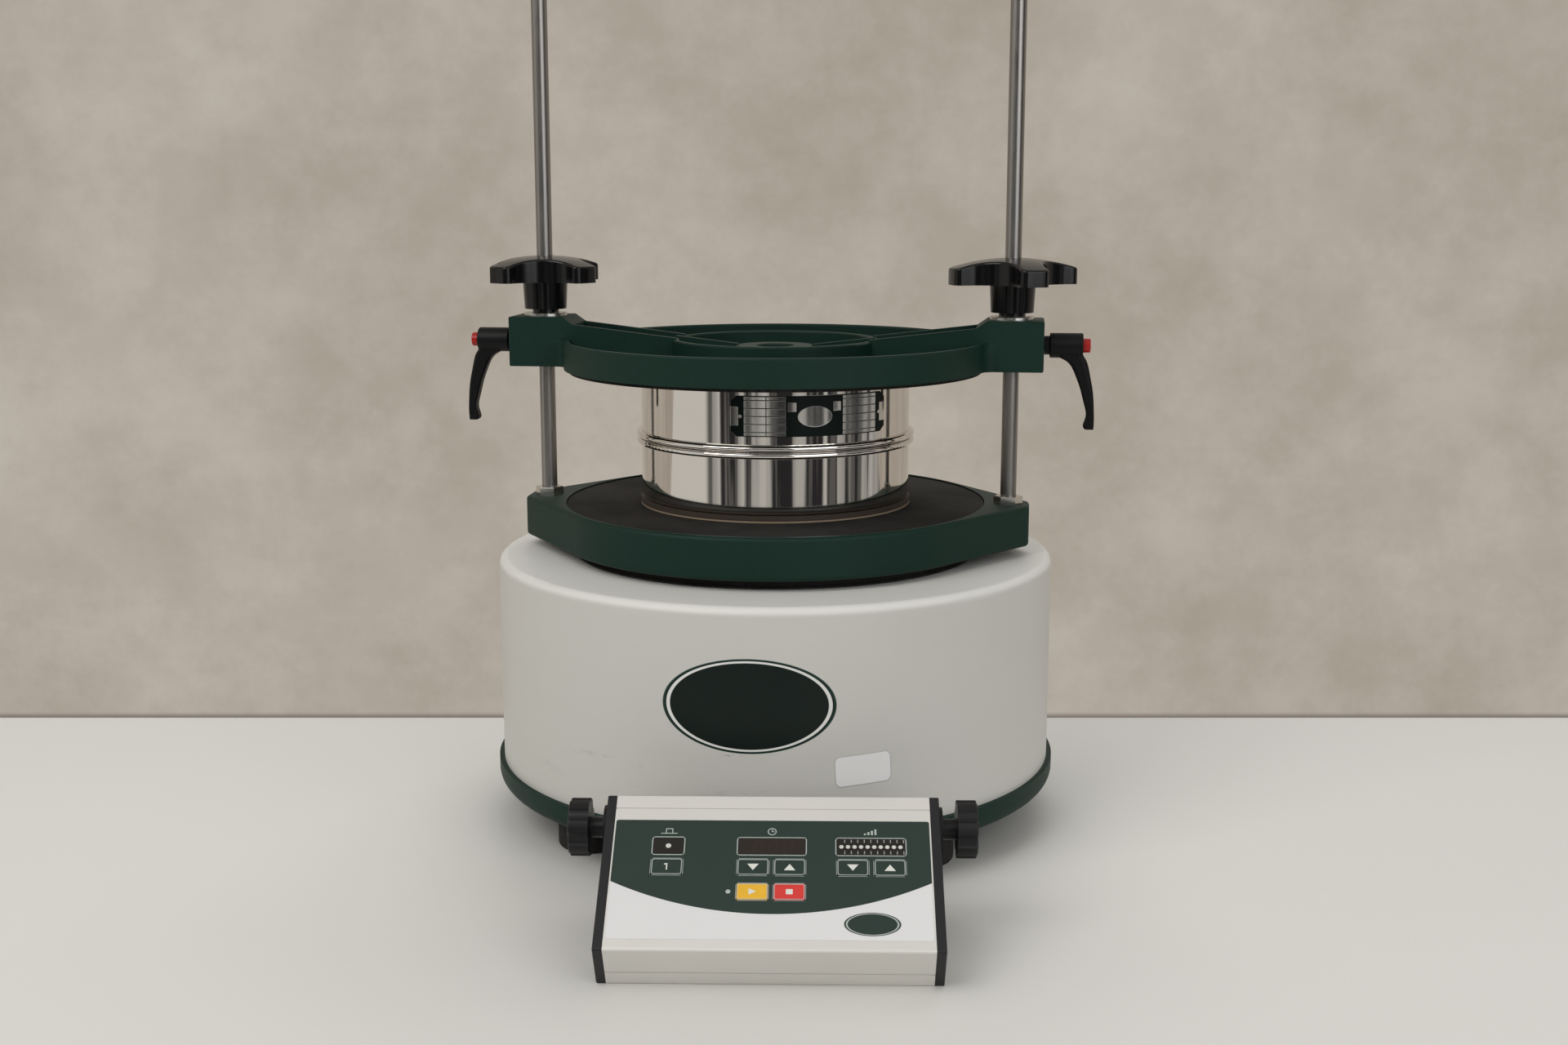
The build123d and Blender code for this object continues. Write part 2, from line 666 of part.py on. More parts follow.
# Sieve plate: a disc drawn out into two wings that hold the rods
with BuildPart() as sieve_plate:
    with BuildSketch(level(PLATE_Z)):
        Circle(PLATE_R)
        with GridLocations(2 * (PLATE_HALF_SPAN - PLATE_CORNER_R),
                           PLATE_END_WIDTH - 2 * PLATE_CORNER_R, 2, 2):
            Circle(PLATE_CORNER_R)
        make_hull()
    extrude(amount=PLATE_THICK)
    fillet(sieve_plate.edges().group_by(Axis.Z)[-1] + sieve_plate.edges().group_by(Axis.Z)[0],
           PLATE_EDGE_R)
    with BuildSketch(level(PLATE_TOP_Z)):
        Circle(MAT_R + FIT_GAP)
    extrude(amount=-RECESS_DEPTH, mode=Mode.SUBTRACT)
    with Locations(level(PLATE_TOP_Z)):
        with GridLocations(2 * ROD_X, 0, 2, 1):
            Hole(ROD_R + FIT_GAP, depth=ROD_SEAT_DEPTH)
save(sieve_plate.part, "sieve_plate")

with BuildPart() as plate_mat:
    with BuildSketch(level(MAT_Z)):
        Circle(MAT_R)
    extrude(amount=MAT_THICK)
    chamfer(plate_mat.edges().group_by(Axis.Z)[-1], MAT_EDGE)
save(plate_mat.part, "plate_mat")

with BuildPart() as guide_rods:
    with BuildSketch(level(PLATE_TOP_Z - ROD_SEAT_DEPTH)):
        with GridLocations(2 * ROD_X, 0, 2, 1):
            Circle(ROD_R)
    extrude(amount=ROD_SEAT_DEPTH + ROD_ABOVE_PLATE)
    chamfer(guide_rods.edges().group_by(Axis.Z)[-1], ROD_CHAMFER)
save(guide_rods.part, "guide_rods")

with BuildPart() as rod_nuts:
    with BuildSketch(level(PLATE_TOP_Z)):
        with GridLocations(2 * ROD_X, 0, 2, 1):
            RegularPolygon(NUT_FLATS / 2, 6, major_radius=False)
            Circle(ROD_R + FIT_GAP, mode=Mode.SUBTRACT)
    extrude(amount=NUT_THICK)
    chamfer(rod_nuts.edges().group_by(Axis.Z)[-1], NUT_CHAMFER)
save(rod_nuts.part, "rod_nuts")

# Disc under the pan, with one shallow groove round its edge
with BuildPart() as stack_disc:
    with BuildSketch(SECTION):
        with Locations((0, DISC_Z)):
            Rectangle(DISC_R, DISC_THICK, align=Align.MIN)
        with Locations((DISC_R, DISC_Z + DISC_THICK / 3)):
            Rectangle(2 * DISC_GROOVE, DISC_GROOVE, mode=Mode.SUBTRACT)
    revolve(axis=CENTRE)
save(stack_disc.part, "stack_disc")

# Receiving pan: a drawn cup with a rolled rim
with BuildPart() as receiving_pan:
    with BuildSketch(level(PAN_Z)):
        Circle(STACK_R)
    extrude(amount=PAN_HEIGHT - BEAD_R)
    fillet(receiving_pan.edges().group_by(Axis.Z)[0], PAN_CORNER_R)
    offset(amount=-STACK_WALL, openings=receiving_pan.faces().sort_by(Axis.Z)[-1])
    with BuildSketch(SECTION):
        with Locations((STACK_R + BEAD_OUT, PAN_TOP_Z - BEAD_R)):
            Circle(BEAD_R)
    revolve(axis=CENTRE)
save(receiving_pan.part, "receiving_pan")

# Sieve: spigot, bead, wall and rolled top rim, turned as one section
web_z = SIEVE_Z + BEAD_R
spigot_r = STACK_R - STACK_WALL - SPIGOT_GAP
sieve_top_z = SIEVE_Z + SIEVE_HEIGHT
with BuildPart() as sieve_frame:
    with BuildSketch(SECTION):
        with Locations((spigot_r - STACK_WALL, SIEVE_Z - SPIGOT_LENGTH)):
            Rectangle(STACK_WALL, SPIGOT_LENGTH + BEAD_R, align=Align.MIN)
        with Locations((spigot_r - STACK_WALL, web_z - STACK_WALL)):
            Rectangle(STACK_R + BEAD_OUT - spigot_r + STACK_WALL, STACK_WALL, align=Align.MIN)
        with Locations((STACK_R - STACK_WALL, web_z - STACK_WALL)):
            Rectangle(STACK_WALL, sieve_top_z - web_z + STACK_WALL - TOP_BEAD_R, align=Align.MIN)
        with Locations((STACK_R + BEAD_OUT, SIEVE_Z + BEAD_R)):
            Circle(BEAD_R)
        with Locations((STACK_R - STACK_WALL + TOP_BEAD_R, sieve_top_z - TOP_BEAD_R)):
            Circle(TOP_BEAD_R)
    revolve(axis=CENTRE)
save(sieve_frame.part, "sieve_frame")

with BuildPart() as sieve_mesh:
    with BuildSketch(level(web_z)):
        Circle(STACK_R - STACK_WALL - FIT_GAP)
    extrude(amount=MESH_THICK)
save(sieve_mesh.part, "sieve_mesh")

# Label plate: a curved sheet cut to its clipped outline, held by two rivets
label_z = SIEVE_Z + LABEL_RISE + LABEL_HEIGHT / 2
LABEL_PLANE = Plane(
    origin=(0, DRUM_Y, label_z),
    x_dir=(cos(radians(LABEL_TURN)), sin(radians(LABEL_TURN)), 0),
    z_dir=(sin(radians(LABEL_TURN)), -cos(radians(LABEL_TURN)), 0),
)
label_in_r = STACK_R + SNUG_GAP
label_out_r = label_in_r + LABEL_THICK
with BuildPart() as sieve_label:
    with BuildSketch(level(label_z - LABEL_HEIGHT / 2)):
        Circle(label_out_r)
        Circle(label_in_r, mode=Mode.SUBTRACT)
    extrude(amount=LABEL_HEIGHT)
    with BuildSketch(LABEL_PLANE):
        outline = Rectangle(LABEL_WIDTH, LABEL_HEIGHT)
        chamfer(outline.vertices(), LABEL_CLIP)
        with GridLocations(RIVET_SPACING, 0, 2, 1):
            Circle(RIVET_SHANK_R + FIT_GAP, mode=Mode.SUBTRACT)
    extrude(amount=label_out_r, mode=Mode.INTERSECT)
save(sieve_label.part, "sieve_label")

with BuildPart() as label_rivets:
    rivet_face = (label_out_r ** 2 - (RIVET_SPACING / 2) ** 2) ** 0.5
    for hand in (-1, 1):
        with BuildSketch(LABEL_PLANE):
            with Locations((hand * RIVET_SPACING / 2, 0)):
                Circle(RIVET_SHANK_R)
        extrude(amount=rivet_face + 2 * RIVET_HEAD)
    with BuildSketch(level(label_z - RIVET_R)):
        Circle(label_out_r + RIVET_HEAD)
    extrude(amount=2 * RIVET_R, mode=Mode.INTERSECT)
    with BuildSketch(level(label_z - RIVET_R)):
        Circle(label_in_r + SNUG_GAP)
    extrude(amount=2 * RIVET_R, mode=Mode.SUBTRACT)
save(label_rivets.part, "label_rivets")

# Clamp bridge: a dish with a floor, an inner ring and a centre boss between two blocks
block_top_z = BRIDGE_Z + BLOCK_HEIGHT
floor_z = BRIDGE_Z + BRIDGE_FLOOR
ring_x = (RING_R ** 2 - (BLOCK_WIDTH / 2) ** 2) ** 0.5


def rib_top(x):
    """Height of the ribs' sloping top at a distance from the drum axis."""
    return BRIDGE_Z + RIB_CENTRE_HEIGHT + RIB_RISE * x


with BuildPart() as clamp_bridge:
    with BuildSketch(level(BRIDGE_Z)) as plan:
        Circle(RIM_R)
        with GridLocations(BLOCK_IN_X + BLOCK_OUT_X, 0, 2, 1):
            Rectangle(BLOCK_OUT_X - BLOCK_IN_X, BLOCK_WIDTH)
        fillet(plan.vertices().filter_by(
            lambda corner: abs(corner.X) < RIM_R), BLOCK_ROOT_R)
    extrude(amount=RIM_HEIGHT)
    with BuildSketch(level(floor_z)):
        Circle(RIM_R - RIM_WALL)
    extrude(amount=RIM_HEIGHT, mode=Mode.SUBTRACT)
    for outer_r, inner_r, height in (
        (RING_R, RING_R - RING_WALL, RING_HEIGHT),
        (BOSS_R, BOSS_BORE_R, BOSS_HEIGHT),
    ):
        with BuildSketch(level(BRIDGE_Z)):
            Circle(outer_r)
            Circle(inner_r, mode=Mode.SUBTRACT)
        extrude(amount=height)
    with BuildSketch(level(BRIDGE_Z)):
        Circle(BOSS_BORE_R)
    extrude(amount=BOSS_HEIGHT, mode=Mode.SUBTRACT)
    for height in (RIM_HEIGHT, RING_HEIGHT, BOSS_HEIGHT):
        fillet(clamp_bridge.edges().filter_by_position(
            Axis.Z, BRIDGE_Z + height, BRIDGE_Z + height), BRIDGE_EDGE_R)
    # Ribs: their tops climb from the boss to the blocks in one straight line
    for side in (-1, 1):
        for face_y, start_x, end_x in (
            (RIB_THICK / 2, BOSS_R - RIB_ROOT, RING_R - RIB_ROOT),
            (BLOCK_WIDTH / 2, ring_x - RIB_ROOT, BLOCK_IN_X + RIB_ROOT),
            (RIB_THICK - BLOCK_WIDTH / 2, ring_x - RIB_ROOT, BLOCK_IN_X + RIB_ROOT),
        ):
            with BuildSketch(SECTION.offset(face_y)):
                with BuildLine():
                    Polyline(
                        (side * start_x, floor_z - RIB_ROOT),
                        (side * start_x, rib_top(start_x)),
                        (side * end_x, rib_top(end_x)),
                        (side * end_x, floor_z - RIB_ROOT),
                        close=True,
                    )
                make_face()
            extrude(amount=-RIB_THICK)
        with BuildSketch(SECTION):
            with BuildLine():
                Polyline(
                    (side * BLOCK_IN_X, BRIDGE_Z),
                    (side * BLOCK_OUT_X, BRIDGE_Z),
                    (side * BLOCK_OUT_X, block_top_z),
                    (side * (BLOCK_IN_X + BLOCK_SLOPE_X), block_top_z),
                    (side * BLOCK_IN_X, block_top_z - BLOCK_SLOPE_Z),
                    close=True,
                )
            make_face()
        extrude(amount=BLOCK_WIDTH / 2, both=True)
    for end_x in (-BLOCK_OUT_X, BLOCK_OUT_X):
        fillet(clamp_bridge.edges().filter_by_position(Axis.X, end_x, end_x), BLOCK_EDGE_R)
    with Locations(level(block_top_z)):
        with GridLocations(2 * ROD_X, 0, 2, 1):
            Hole(ROD_R + RUN_GAP)
    for side in (-1, 1):
        with BuildSketch(across(side, BLOCK_OUT_X, LEVER_Z)):
            Circle(STUD_R + RUN_GAP)
        extrude(amount=ROD_X - BLOCK_OUT_X, mode=Mode.SUBTRACT)
save(clamp_bridge.part, "clamp_bridge")

with BuildPart() as bridge_mat:
    with BuildSketch(level(BRIDGE_MAT_Z)):
        Circle(BRIDGE_MAT_R)
        Circle(BOSS_BORE_R, mode=Mode.SUBTRACT)
    extrude(amount=BRIDGE_MAT_THICK)
save(bridge_mat.part, "bridge_mat")

with BuildPart() as bridge_washers:
    with BuildSketch(level(block_top_z)):
        with GridLocations(2 * ROD_X, 0, 2, 1):
            Circle(WASHER_R)
            Circle(ROD_R + RUN_GAP, mode=Mode.SUBTRACT)
    extrude(amount=WASHER_THICK)
    chamfer(bridge_washers.edges().group_by(Axis.Z)[-1], WASHER_EDGE)
save(bridge_washers.part, "bridge_washers")

# Cross knobs: a domed disc on a hub, cut into four lobes by four round valleys
neck_z = block_top_z + WASHER_THICK + RUN_GAP
hub_z = neck_z + KNOB_NECK
star_z = hub_z + KNOB_HUB_HEIGHT


def cross_knob(side, turn):
    axis = Axis((side * ROD_X, DRUM_Y, 0), (0, 0, 1))
    face = Plane(origin=(side * ROD_X, DRUM_Y, 0), x_dir=(1, 0, 0), z_dir=(0, -1, 0))
    bore_r = ROD_R + RUN_GAP
    belly_z = (star_z + KNOB_TIP_HEIGHT
               + KNOB_DOME_BELLY * (KNOB_DOME_HEIGHT - KNOB_TIP_HEIGHT))
    with BuildPart() as knob:
        with BuildSketch(face):
            with BuildLine():
                Line((bore_r, star_z), (KNOB_R, star_z))
                Line((KNOB_R, star_z), (KNOB_R, star_z + KNOB_TIP_HEIGHT))
                ThreePointArc(
                    (KNOB_R, star_z + KNOB_TIP_HEIGHT),
                    (KNOB_BELLY_R, belly_z),
                    (bore_r, star_z + KNOB_DOME_HEIGHT),
                )
                Line((bore_r, star_z + KNOB_DOME_HEIGHT), (bore_r, star_z))
            make_face()
        revolve(axis=axis)
        with BuildSketch(rod_level(side, star_z)):
            with PolarLocations(KNOB_VALLEY_REACH, KNOB_LOBES,
                                start_angle=turn + 180 / KNOB_LOBES):
                Circle(KNOB_VALLEY_R)
        extrude(amount=KNOB_DOME_HEIGHT, mode=Mode.SUBTRACT)
        fillet(knob.edges().filter_by(Axis.Z).filter_by(
            lambda edge: edge.length < (KNOB_TIP_HEIGHT + KNOB_DOME_HEIGHT) / 2), KNOB_TIP_R)
        fillet(knob.edges().filter_by(
            lambda edge: edge.center().Z > star_z + KNOB_TIP_HEIGHT / 2
            and (edge @ 0.5 - Vector(side * ROD_X, DRUM_Y, (edge @ 0.5).Z)).length > 2 * ROD_R
            and abs((edge % 0.5).Z) < KNOB_LEVEL), KNOB_EDGE_R)
        with BuildSketch(face):
            with BuildLine():
                Polyline(
                    (bore_r, neck_z),
                    (KNOB_NECK_R, neck_z),
                    (KNOB_NECK_R, hub_z),
                    (KNOB_HUB_LOW_R, hub_z),
                    (KNOB_HUB_TOP_R, star_z),
                    (bore_r, star_z),
                    close=True,
                )
            make_face()
        revolve(axis=axis)
    return knob.part


# Levers: a hub with a push button, and an arm lofted through its sections
lever_x = BLOCK_OUT_X + RUN_GAP + COLLAR_LENGTH
hub_end_x = lever_x + LEVER_HUB_LENGTH


def lever_stud(side):
    with BuildPart() as stud:
        with BuildSketch(across(side, BLOCK_OUT_X + RUN_GAP, LEVER_Z)):
            Circle(COLLAR_R)
        extrude(amount=COLLAR_LENGTH)
        with BuildSketch(across(side, ROD_X + ROD_R + RUN_GAP, LEVER_Z)):
            Circle(STUD_R)
        extrude(amount=lever_x + STUD_IN_LEVER - ROD_X - ROD_R - RUN_GAP)
    return stud.part


def lever_arm(side):
    with BuildPart() as lever:
        with BuildSketch(across(side, lever_x, LEVER_Z)):
            Circle(LEVER_HUB_R)
        extrude(amount=LEVER_HUB_LENGTH)
        fillet(lever.edges().filter_by(GeomType.CIRCLE), LEVER_HUB_EDGE_R)
        for drop, inner, outer, width in LEVER_SECTIONS:
            spot = (side * (lever_x + (inner + outer) / 2), DRUM_Y, LEVER_Z - drop)
            with BuildSketch(Plane(origin=spot)):
                RectangleRounded(outer - inner, width, LEVER_CORNER * min(outer - inner, width))
        loft()
        with BuildSketch(across(side, lever_x, LEVER_Z)):
            Circle(STUD_R + FIT_GAP)
        extrude(amount=STUD_IN_LEVER + FIT_GAP, mode=Mode.SUBTRACT)
        with BuildSketch(across(side, hub_end_x, LEVER_Z)):
            Circle(BUTTON_R + RUN_GAP)
        extrude(amount=-BUTTON_IN_HUB - BUTTON_TRAVEL - RUN_GAP, mode=Mode.SUBTRACT)
    return lever.part


def lever_button(side):
    with BuildPart() as button:
        with BuildSketch(across(side, hub_end_x - BUTTON_IN_HUB, LEVER_Z)):
            Circle(BUTTON_R)
        extrude(amount=BUTTON_IN_HUB + BUTTON_OUT)
        outer = button.faces().sort_by(Axis.X)[-1 if side > 0 else 0]
        fillet(outer.edges(), BUTTON_EDGE_R)
    return button.part


for hand, side in (("left", -1), ("right", 1)):
    save(cross_knob(side, KNOB_TURN[hand]), f"cross_knob_{hand}")
    save(lever_stud(side), f"lever_stud_{hand}")
    save(lever_arm(side), f"lever_{hand}")
    save(lever_button(side), f"lever_button_{hand}")

# Control unit: all its planes turn with the tilt axis of the stand
YAW_COS = cos(radians(UNIT_YAW))
YAW_SIN = sin(radians(UNIT_YAW))
UNIT_ORIGIN = (UNIT_X, DRUM_Y + UNIT_Y, AXIS_Z)
ALONG = Vector(YAW_COS, YAW_SIN, 0)
UPHILL = Vector(-YAW_SIN * TILT_COS, YAW_COS * TILT_COS, TILT_SIN)
OUTWARD = ALONG.cross(UPHILL)
UNIT_SECTION = Plane(origin=UNIT_ORIGIN, x_dir=UPHILL, z_dir=ALONG)
FACE_PLANE = Plane(origin=UNIT_ORIGIN, x_dir=ALONG, z_dir=OUTWARD).offset(UNIT_HALF)
STAND_SECTION = Plane(origin=(UNIT_X, DRUM_Y + UNIT_Y, 0), x_dir=(-YAW_SIN, YAW_COS, 0),
                      z_dir=ALONG)
UNIT_MIDDLE = (UNIT_BEHIND_AXIS - UNIT_AHEAD) / 2


def on_face(across_x, up):
    """Point on the front face, with up measured from the lower edge."""
    return (across_x, up - UNIT_AHEAD)


with BuildPart() as unit_profile:
    with BuildSketch(UNIT_SECTION):
        with Locations((UNIT_MIDDLE, 0)):
            RectangleRounded(UNIT_DEPTH, UNIT_THICK, UNIT_CORNER_R)
            Rectangle(UNIT_DEPTH - 2 * UNIT_WALL, UNIT_THICK - 2 * UNIT_WALL, mode=Mode.SUBTRACT)
        with Locations((GROOVE_UP - UNIT_AHEAD, UNIT_HALF)):
            Rectangle(GROOVE_WIDTH, 2 * GROOVE_DEPTH, mode=Mode.SUBTRACT)
        with Locations((-UNIT_AHEAD, GROOVE_FRONT)):
            Rectangle(2 * GROOVE_DEPTH, GROOVE_WIDTH, mode=Mode.SUBTRACT)
    extrude(amount=UNIT_WIDTH / 2, both=True)
    with BuildSketch(FACE_PLANE):
        for across_x, up in KEYS.values():
            with Locations(on_face(across_x, up)):
                Rectangle(KEY_WIDTH + 2 * RUN_GAP, KEY_HEIGHT + 2 * RUN_GAP)
        for across_x, width in VIEWS:
            with Locations(on_face(across_x, VIEW_UP)):
                Rectangle(width + 2 * FIT_GAP, VIEW_HEIGHT + 2 * FIT_GAP)
    extrude(amount=-2 * UNIT_WALL, mode=Mode.SUBTRACT)
    UNIT_REAR = Plane(origin=UNIT_SECTION.from_local_coords((UNIT_BEHIND_AXIS, 0, UNIT_SOCKET_X)),
                      x_dir=-ALONG, z_dir=UPHILL)
    with BuildSketch(UNIT_REAR):
        Circle(SOCKET_BODY_R + FIT_GAP)
    extrude(amount=-2 * UNIT_WALL, mode=Mode.SUBTRACT)
save(unit_profile.part, "unit_profile")

save(round_socket(UNIT_REAR), "unit_socket")


def end_cap(side):
    lip_depth = UNIT_DEPTH - 2 * UNIT_WALL - 2 * FIT_GAP
    lip_thick = UNIT_THICK - 2 * UNIT_WALL - 2 * FIT_GAP
    inner_face = UNIT_SECTION.offset(side * UNIT_WIDTH / 2)
    with BuildPart() as cap:
        with BuildSketch(inner_face):
            with Locations((UNIT_MIDDLE, 0)):
                RectangleRounded(UNIT_DEPTH, UNIT_THICK, UNIT_CORNER_R)
        extrude(amount=side * CAP_THICK)
        fillet(cap.faces().sort_by(Axis(UNIT_ORIGIN, ALONG))[-1 if side > 0 else 0].edges(),
               CAP_EDGE_R)
        with BuildSketch(inner_face):
            with Locations((UNIT_MIDDLE, 0)):
                Rectangle(lip_depth, lip_thick)
                Rectangle(lip_depth - 2 * CAP_LIP_WALL, lip_thick - 2 * CAP_LIP_WALL,
                          mode=Mode.SUBTRACT)
        extrude(amount=-side * CAP_LIP)
        with BuildSketch(inner_face):
            Circle(SIDE_STUD_R + FIT_GAP)
        extrude(amount=side * CAP_THICK, mode=Mode.SUBTRACT)
    return cap.part


def side_knob(side):
    neck_x = UNIT_END + 2 * RUN_GAP + STAND_THICK
    neck_face = UNIT_SECTION.offset(side * neck_x)
    disc_face = UNIT_SECTION.offset(side * (neck_x + SIDE_KNOB_NECK))
    with BuildPart() as knob:
        with BuildSketch(disc_face):
            Circle(SIDE_KNOB_R)
            with PolarLocations(SIDE_KNOB_R + SIDE_KNOB_FLUTE_R - SIDE_KNOB_FLUTE_DEPTH,
                                SIDE_KNOB_FLUTES):
                Circle(SIDE_KNOB_FLUTE_R, mode=Mode.SUBTRACT)
        extrude(amount=side * SIDE_KNOB_THICK)
        fillet(knob.faces().sort_by(Axis(UNIT_ORIGIN, ALONG))[-1 if side > 0 else 0].edges(),
               SIDE_KNOB_EDGE_R)
        with BuildSketch(neck_face):
            Circle(SIDE_KNOB_NECK_R)
        extrude(amount=side * SIDE_KNOB_NECK)
        with BuildSketch(neck_face):
            Circle(SIDE_STUD_R)
        extrude(amount=-side * SIDE_STUD_LENGTH)
    return knob.part


for hand, side in (("left", -1), ("right", 1)):
    save(end_cap(side), f"end_cap_{hand}")
    save(side_knob(side), f"side_knob_{hand}")

# Front foil with its cut-outs
with BuildPart() as front_foil:
    with BuildSketch(FACE_PLANE):
        with Locations(on_face(0, (FOIL_LOW + FOIL_HIGH) / 2)):
            RectangleRounded(UNIT_WIDTH - 2 * FOIL_MARGIN, FOIL_HIGH - FOIL_LOW, FOIL_CORNER_R)
        for across_x, up in KEYS.values():
            with Locations(on_face(across_x, up)):
                Rectangle(KEY_WIDTH + 2 * RUN_GAP, KEY_HEIGHT + 2 * RUN_GAP, mode=Mode.SUBTRACT)
        for across_x, width in VIEWS:
            with Locations(on_face(across_x, VIEW_UP)):
                Rectangle(width + 2 * FIT_GAP, VIEW_HEIGHT + 2 * FIT_GAP, mode=Mode.SUBTRACT)
    extrude(amount=FOIL_THICK)
save(front_foil.part, "front_foil")

with BuildPart() as display_windows:
    with BuildSketch(FACE_PLANE.offset(FOIL_THICK)):
        for across_x, width in VIEWS:
            with Locations(on_face(across_x, VIEW_UP)):
                Rectangle(width, VIEW_HEIGHT)
    extrude(amount=-VIEW_THICK)
save(display_windows.part, "display_windows")

key_top = FOIL_THICK + KEY_OUT
for key_name, (across_x, up) in KEYS.items():
    with BuildPart() as foil_key:
        with BuildSketch(FACE_PLANE.offset(key_top)):
            with Locations(on_face(across_x, up)):
                RectangleRounded(KEY_WIDTH, KEY_HEIGHT, KEY_CORNER_R)
        extrude(amount=-KEY_THICK)
    save(foil_key.part, key_name)

# Circuit board between the end caps, with its display blocks, and the key switches
board_top = UNIT_WALL + BOARD_DROP - BOARD_THICK
switch_top = KEY_THICK - key_top + KEY_TRAVEL + SNUG_GAP
with BuildPart() as control_board:
    with BuildSketch(FACE_PLANE.offset(-board_top)):
        with Locations(on_face(0, (BOARD_LOW + BOARD_HIGH) / 2)):
            Rectangle(UNIT_WIDTH - 2 * RUN_GAP, BOARD_HIGH - BOARD_LOW)
    extrude(amount=-BOARD_THICK)
    with BuildSketch(FACE_PLANE.offset(-board_top)):
        for across_x, width in VIEWS:
            with Locations(on_face(across_x, VIEW_UP)):
                Rectangle(width - 2 * DISPLAY_MARGIN, VIEW_HEIGHT - 2 * DISPLAY_MARGIN)
    extrude(amount=board_top - VIEW_THICK + FOIL_THICK - RUN_GAP)
save(control_board.part, "control_board")

with BuildPart() as key_switches:
    with BuildSketch(FACE_PLANE.offset(-board_top)):
        for across_x, up in KEYS.values():
            with Locations(on_face(across_x, up)):
                Circle(SWITCH_R)
    extrude(amount=board_top - switch_top)
save(key_switches.part, "key_switches")

# Stand: a bent strip whose two cheeks carry the unit on the side knobs
with BuildPart() as unit_stand:
    cheek_in = UNIT_END + RUN_GAP
    for side in (-1, 1):
        with BuildSketch(STAND_SECTION.offset(side * cheek_in)):
            with BuildLine():
                Polyline(
                    (-STAND_FRONT, STAND_PAD),
                    (STAND_REAR, STAND_PAD),
                    (STAND_TOP_R, AXIS_Z),
                    (-STAND_TOP_R, AXIS_Z),
                    close=True,
                )
            make_face()
            with Locations((0, AXIS_Z)):
                Circle(STAND_TOP_R)
                Circle(SIDE_STUD_R + RUN_GAP, mode=Mode.SUBTRACT)
        extrude(amount=side * STAND_THICK)
    with BuildSketch(STAND_SECTION):
        with Locations((-STAND_FRONT, STAND_PAD)):
            Rectangle(STAND_FRONT + STAND_REAR, STAND_THICK, align=Align.MIN)
    extrude(amount=cheek_in, both=True)
save(unit_stand.part, "unit_stand")

with BuildPart() as stand_pads:
    with BuildSketch(Plane(origin=(UNIT_X, DRUM_Y + UNIT_Y, 0), x_dir=ALONG)):
        with Locations((0, (STAND_REAR - STAND_FRONT) / 2)):
            with GridLocations(2 * UNIT_END - 4 * STAND_PAD_R,
                               STAND_FRONT + STAND_REAR - 3 * STAND_PAD_R, 2, 2):
                Circle(STAND_PAD_R)
    extrude(amount=STAND_PAD)
save(stand_pads.part, "stand_pads")
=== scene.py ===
import json
from math import cos, radians, sin

import bpy
from mathutils import Euler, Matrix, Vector


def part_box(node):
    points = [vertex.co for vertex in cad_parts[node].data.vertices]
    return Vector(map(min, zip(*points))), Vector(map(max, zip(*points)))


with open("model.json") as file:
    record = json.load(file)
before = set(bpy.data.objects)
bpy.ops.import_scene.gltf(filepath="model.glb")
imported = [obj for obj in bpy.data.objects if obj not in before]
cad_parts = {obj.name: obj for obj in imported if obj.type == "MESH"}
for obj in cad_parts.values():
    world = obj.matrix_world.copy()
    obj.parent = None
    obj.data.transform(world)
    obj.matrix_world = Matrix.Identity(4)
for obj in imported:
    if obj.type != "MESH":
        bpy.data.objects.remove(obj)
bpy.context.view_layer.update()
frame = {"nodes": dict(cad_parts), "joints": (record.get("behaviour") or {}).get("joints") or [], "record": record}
MM = 0.001

# Directions and places that the camera and the materials need, in metres in the row frame
ORIGIN = (0, 0, 0)
RIGHT, BACK, FRONT, UP = (1, 0, 0), (0, 1, 0), (0, -1, 0), (0, 0, 1)
drum_low, drum_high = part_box("housing_drum")
DRUM_X = (drum_low[0] + drum_high[0]) / 2
DRUM_Y = (drum_low[1] + drum_high[1]) / 2
DRUM_R = (drum_high[0] - drum_low[0]) / 2
JOINTS = {joint["name"]: joint for joint in frame["joints"]}
TILT = JOINTS["control_unit_tilt"]
UNIT_ORIGIN = Vector(TILT["pos_m"])
ALONG = -Vector(TILT["axis"])
OUTWARD = -Vector(JOINTS["key_stop_press"]["axis"])
UPHILL = OUTWARD.cross(ALONG)

# Camera: the photograph's, fitted to the drum, the feet, the sieve and the control unit
CAMERA_PLACE = (187.4 * MM, -1395.5 * MM + DRUM_Y, 480 * MM)
CAMERA_PITCH = 10.39
CAMERA_HEADING = 7.38
CAMERA_LENS = 42.53
SENSOR_WIDTH = 36


def add_camera():
    camera = bpy.data.objects.new("camera", bpy.data.cameras.new("camera"))
    camera.data.lens = CAMERA_LENS
    camera.data.sensor_width = SENSOR_WIDTH
    camera.location = CAMERA_PLACE
    camera.rotation_euler = Euler((radians(90 - CAMERA_PITCH), 0, radians(CAMERA_HEADING)))
    bpy.context.collection.objects.link(camera)
    bpy.context.scene.camera = camera


add_camera()

# Shader sockets as numbers; printed edges and lamps are soft over these widths
PRINT_EDGE = 0.0003
LAMP_EDGE = 0.0004


